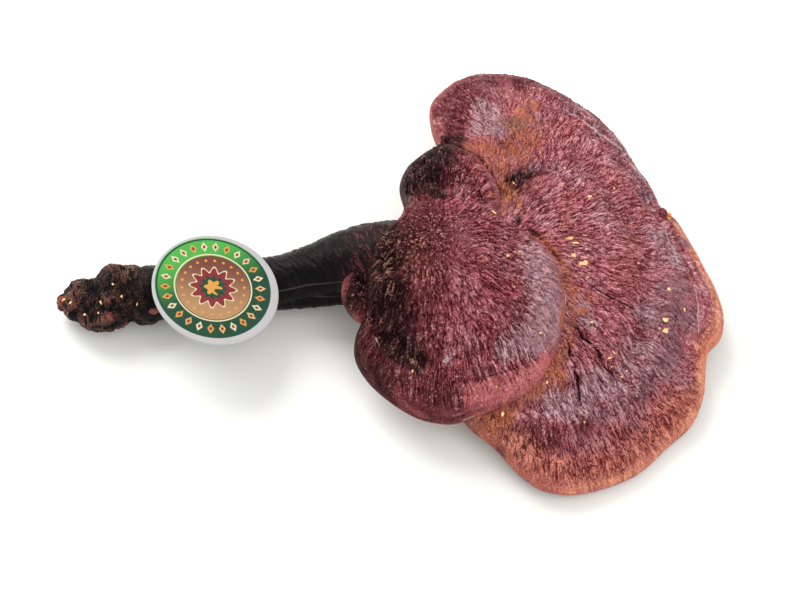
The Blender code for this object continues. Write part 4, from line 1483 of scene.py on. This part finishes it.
def small_cap_wrinkle(x, y, inset, layers):
    """Strong near the growth point, weaker on the smooth right third and on the pink band."""
    smooth_side = smooth_step(x, *SMOOTH_THIRD)
    calm = np.maximum(layers["pink"] * 0.45, layers["streaks"] * 0.6)
    return smooth_step(inset, 0.3, 4.0) * (1 - 0.45 * smooth_side) * (1 - calm)


def ear_wrinkle(x, y, inset, layers):
    return smooth_step(inset, 0.0, 2.0)


class REISHI_OT_large_cap(ReishiPiece, bpy.types.Operator):
    """Makes the large fan-shaped cap's skin"""

    bl_idname = "reishi.large_cap"
    bl_label = "Large Cap"

    def execute(self, context):
        cap = dressed_cap(LARGE_CAP, LARGE_CAP_CRUST, large_cap_wrinkle, cap_finish(LARGE_CAP))
        self.keep("large_cap", cap, flakes(cap, "large_cap", flake_finish()))
        return {"FINISHED"}


class REISHI_OT_small_cap(ReishiPiece, bpy.types.Operator):
    """Makes the small cap's skin and its curled ear beside the stem"""

    bl_idname = "reishi.small_cap"
    bl_label = "Small Cap"

    def execute(self, context):
        cap = dressed_cap(SMALL_CAP, SMALL_CAP_CRUST, small_cap_wrinkle, cap_finish(SMALL_CAP))
        ear = dressed_cap(EAR, EAR_CRUST, ear_wrinkle, cap_finish(EAR))
        self.keep("small_cap", cap, ear, flakes(cap, "small_cap", flake_finish()))
        return {"FINISHED"}


def label_profile(radius, half):
    """The label's section from its middle over the rounded edge to its back: distance out, height."""
    top = [(radius * share, half) for share in LABEL_RINGS]
    top += [
        (radius - LABEL_EDGE + LABEL_EDGE * math.sin(a), half - LABEL_EDGE + LABEL_EDGE * math.cos(a))
        for a in np.linspace(0.0, math.pi / 2, LABEL_EDGE_RINGS)
    ]
    return top + [(out, -height) for out, height in reversed(top)]


class REISHI_OT_label(ReishiPiece, bpy.types.Operator):
    """Makes the round printed label on the stem"""

    bl_idname = "reishi.label"
    bl_label = "Label"

    def execute(self, context):
        low, high = (Vector(corner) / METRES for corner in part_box("label"))
        centre = np.array((low + high) / 2)
        lean = math.radians(LABEL_LEAN)
        radius = (high.y - low.y) / 2
        thickness = (high.z - low.z - 2 * radius * math.sin(lean)) / math.cos(lean)
        right = np.array((math.cos(lean), 0.0, -math.sin(lean)))
        rear = np.array((0.0, 1.0, 0.0))
        out = np.array((math.sin(lean), 0.0, math.cos(lean)))
        half = thickness / 2
        turns = np.arange(LABEL_SIDES) * 2 * math.pi / LABEL_SIDES
        rings, prints = [], []
        for r, h in label_profile(radius, half):
            u, v = r * np.cos(turns), r * np.sin(turns)
            rings.append(centre + u[:, None] * right + v[:, None] * rear + h * out)
            prints.append(np.stack([u, v, np.full_like(u, h)], axis=-1))
        first, last = centre + half * out, centre - half * out
        label = sheet_object("label_disc", rings, first, last, {"print": prints})
        label.data.materials.append(label_finish())
        self.keep("label", label)
        return {"FINISHED"}


class REISHI_OT_stage(bpy.types.Operator):
    """Makes the floor, the lights and the camera"""

    bl_idname = "reishi.stage"
    bl_label = "Stage"

    def execute(self, context):
        scene = context.scene
        floor = bpy.data.meshes.new("floor")
        corners = ((-1, -1), (1, -1), (1, 1), (-1, 1))
        places = [(x * FLOOR_REACH, y * FLOOR_REACH, 0.0) for x, y in corners]
        floor.from_pydata(places, [], [(0, 1, 2, 3)])
        material, _, shader = new_material("plain_floor")
        coat(shader, colours().floor, 0.9, 0.5)
        floor.materials.append(material)
        linked("floor", floor)

        world = bpy.data.worlds.new("soft_room")
        world.use_nodes = True
        background = world.node_tree.nodes["Background"]
        background.inputs["Color"].default_value = (1.0, 1.0, 1.0, 1.0)
        background.inputs["Strength"].default_value = ROOM_LIGHT
        scene.world = world
        for name, place, size, power in LAMPS:
            light = bpy.data.lights.new(name, "AREA")
            light.shape = "DISK"
            light.size = size
            light.energy = power
            lamp = linked(name, light)
            lamp.location = place
            lamp.rotation_euler = (-Vector(place)).to_track_quat("-Z", "Y").to_euler()

        camera = bpy.data.cameras.new("camera")
        camera.lens = CAMERA_LENS
        camera.sensor_width = CAMERA_SENSOR
        viewer = linked("camera", camera)
        elevation = math.radians(CAMERA_ELEVATION)
        back = Vector((0.0, -math.cos(elevation), math.sin(elevation)))
        viewer.location = (Vector(CAMERA_AIM) + back * CAMERA_DISTANCE) * METRES
        viewer.rotation_euler = (math.pi / 2 - elevation, 0.0, 0.0)
        scene.camera = viewer
        scene.view_settings.view_transform = "Standard"
        return {"FINISHED"}


class REISHI_PT_panel(bpy.types.Panel):
    """Lists the operators, the sizes and the colours"""

    bl_label = "Dried Reishi"
    bl_idname = "REISHI_PT_panel"
    bl_space_type = "VIEW_3D"
    bl_region_type = "UI"
    bl_category = "Reishi"

    def draw(self, context):
        for operator in OPERATORS:
            self.layout.operator(operator.bl_idname)
        for group in (context.scene.reishi_sizes, context.scene.reishi_colours):
            column = self.layout.column(align=True)
            for name in group.__annotations__:
                column.prop(group, name)


OPERATORS = (
    REISHI_OT_stem,
    REISHI_OT_large_cap,
    REISHI_OT_small_cap,
    REISHI_OT_label,
    REISHI_OT_stage,
)
CLASSES = (ReishiSizes, ReishiColours, *OPERATORS, REISHI_PT_panel)


def register():
    for item in CLASSES:
        bpy.utils.register_class(item)
    bpy.types.Scene.reishi_sizes = PointerProperty(type=ReishiSizes)
    bpy.types.Scene.reishi_colours = PointerProperty(type=ReishiColours)


def unregister():
    del bpy.types.Scene.reishi_colours
    del bpy.types.Scene.reishi_sizes
    for item in reversed(CLASSES):
        bpy.utils.unregister_class(item)


def main():
    register()
    bpy.ops.reishi.stem()
    bpy.ops.reishi.large_cap()
    bpy.ops.reishi.small_cap()
    bpy.ops.reishi.label()
    bpy.ops.reishi.stage()


if __name__ == "__main__":
    main()
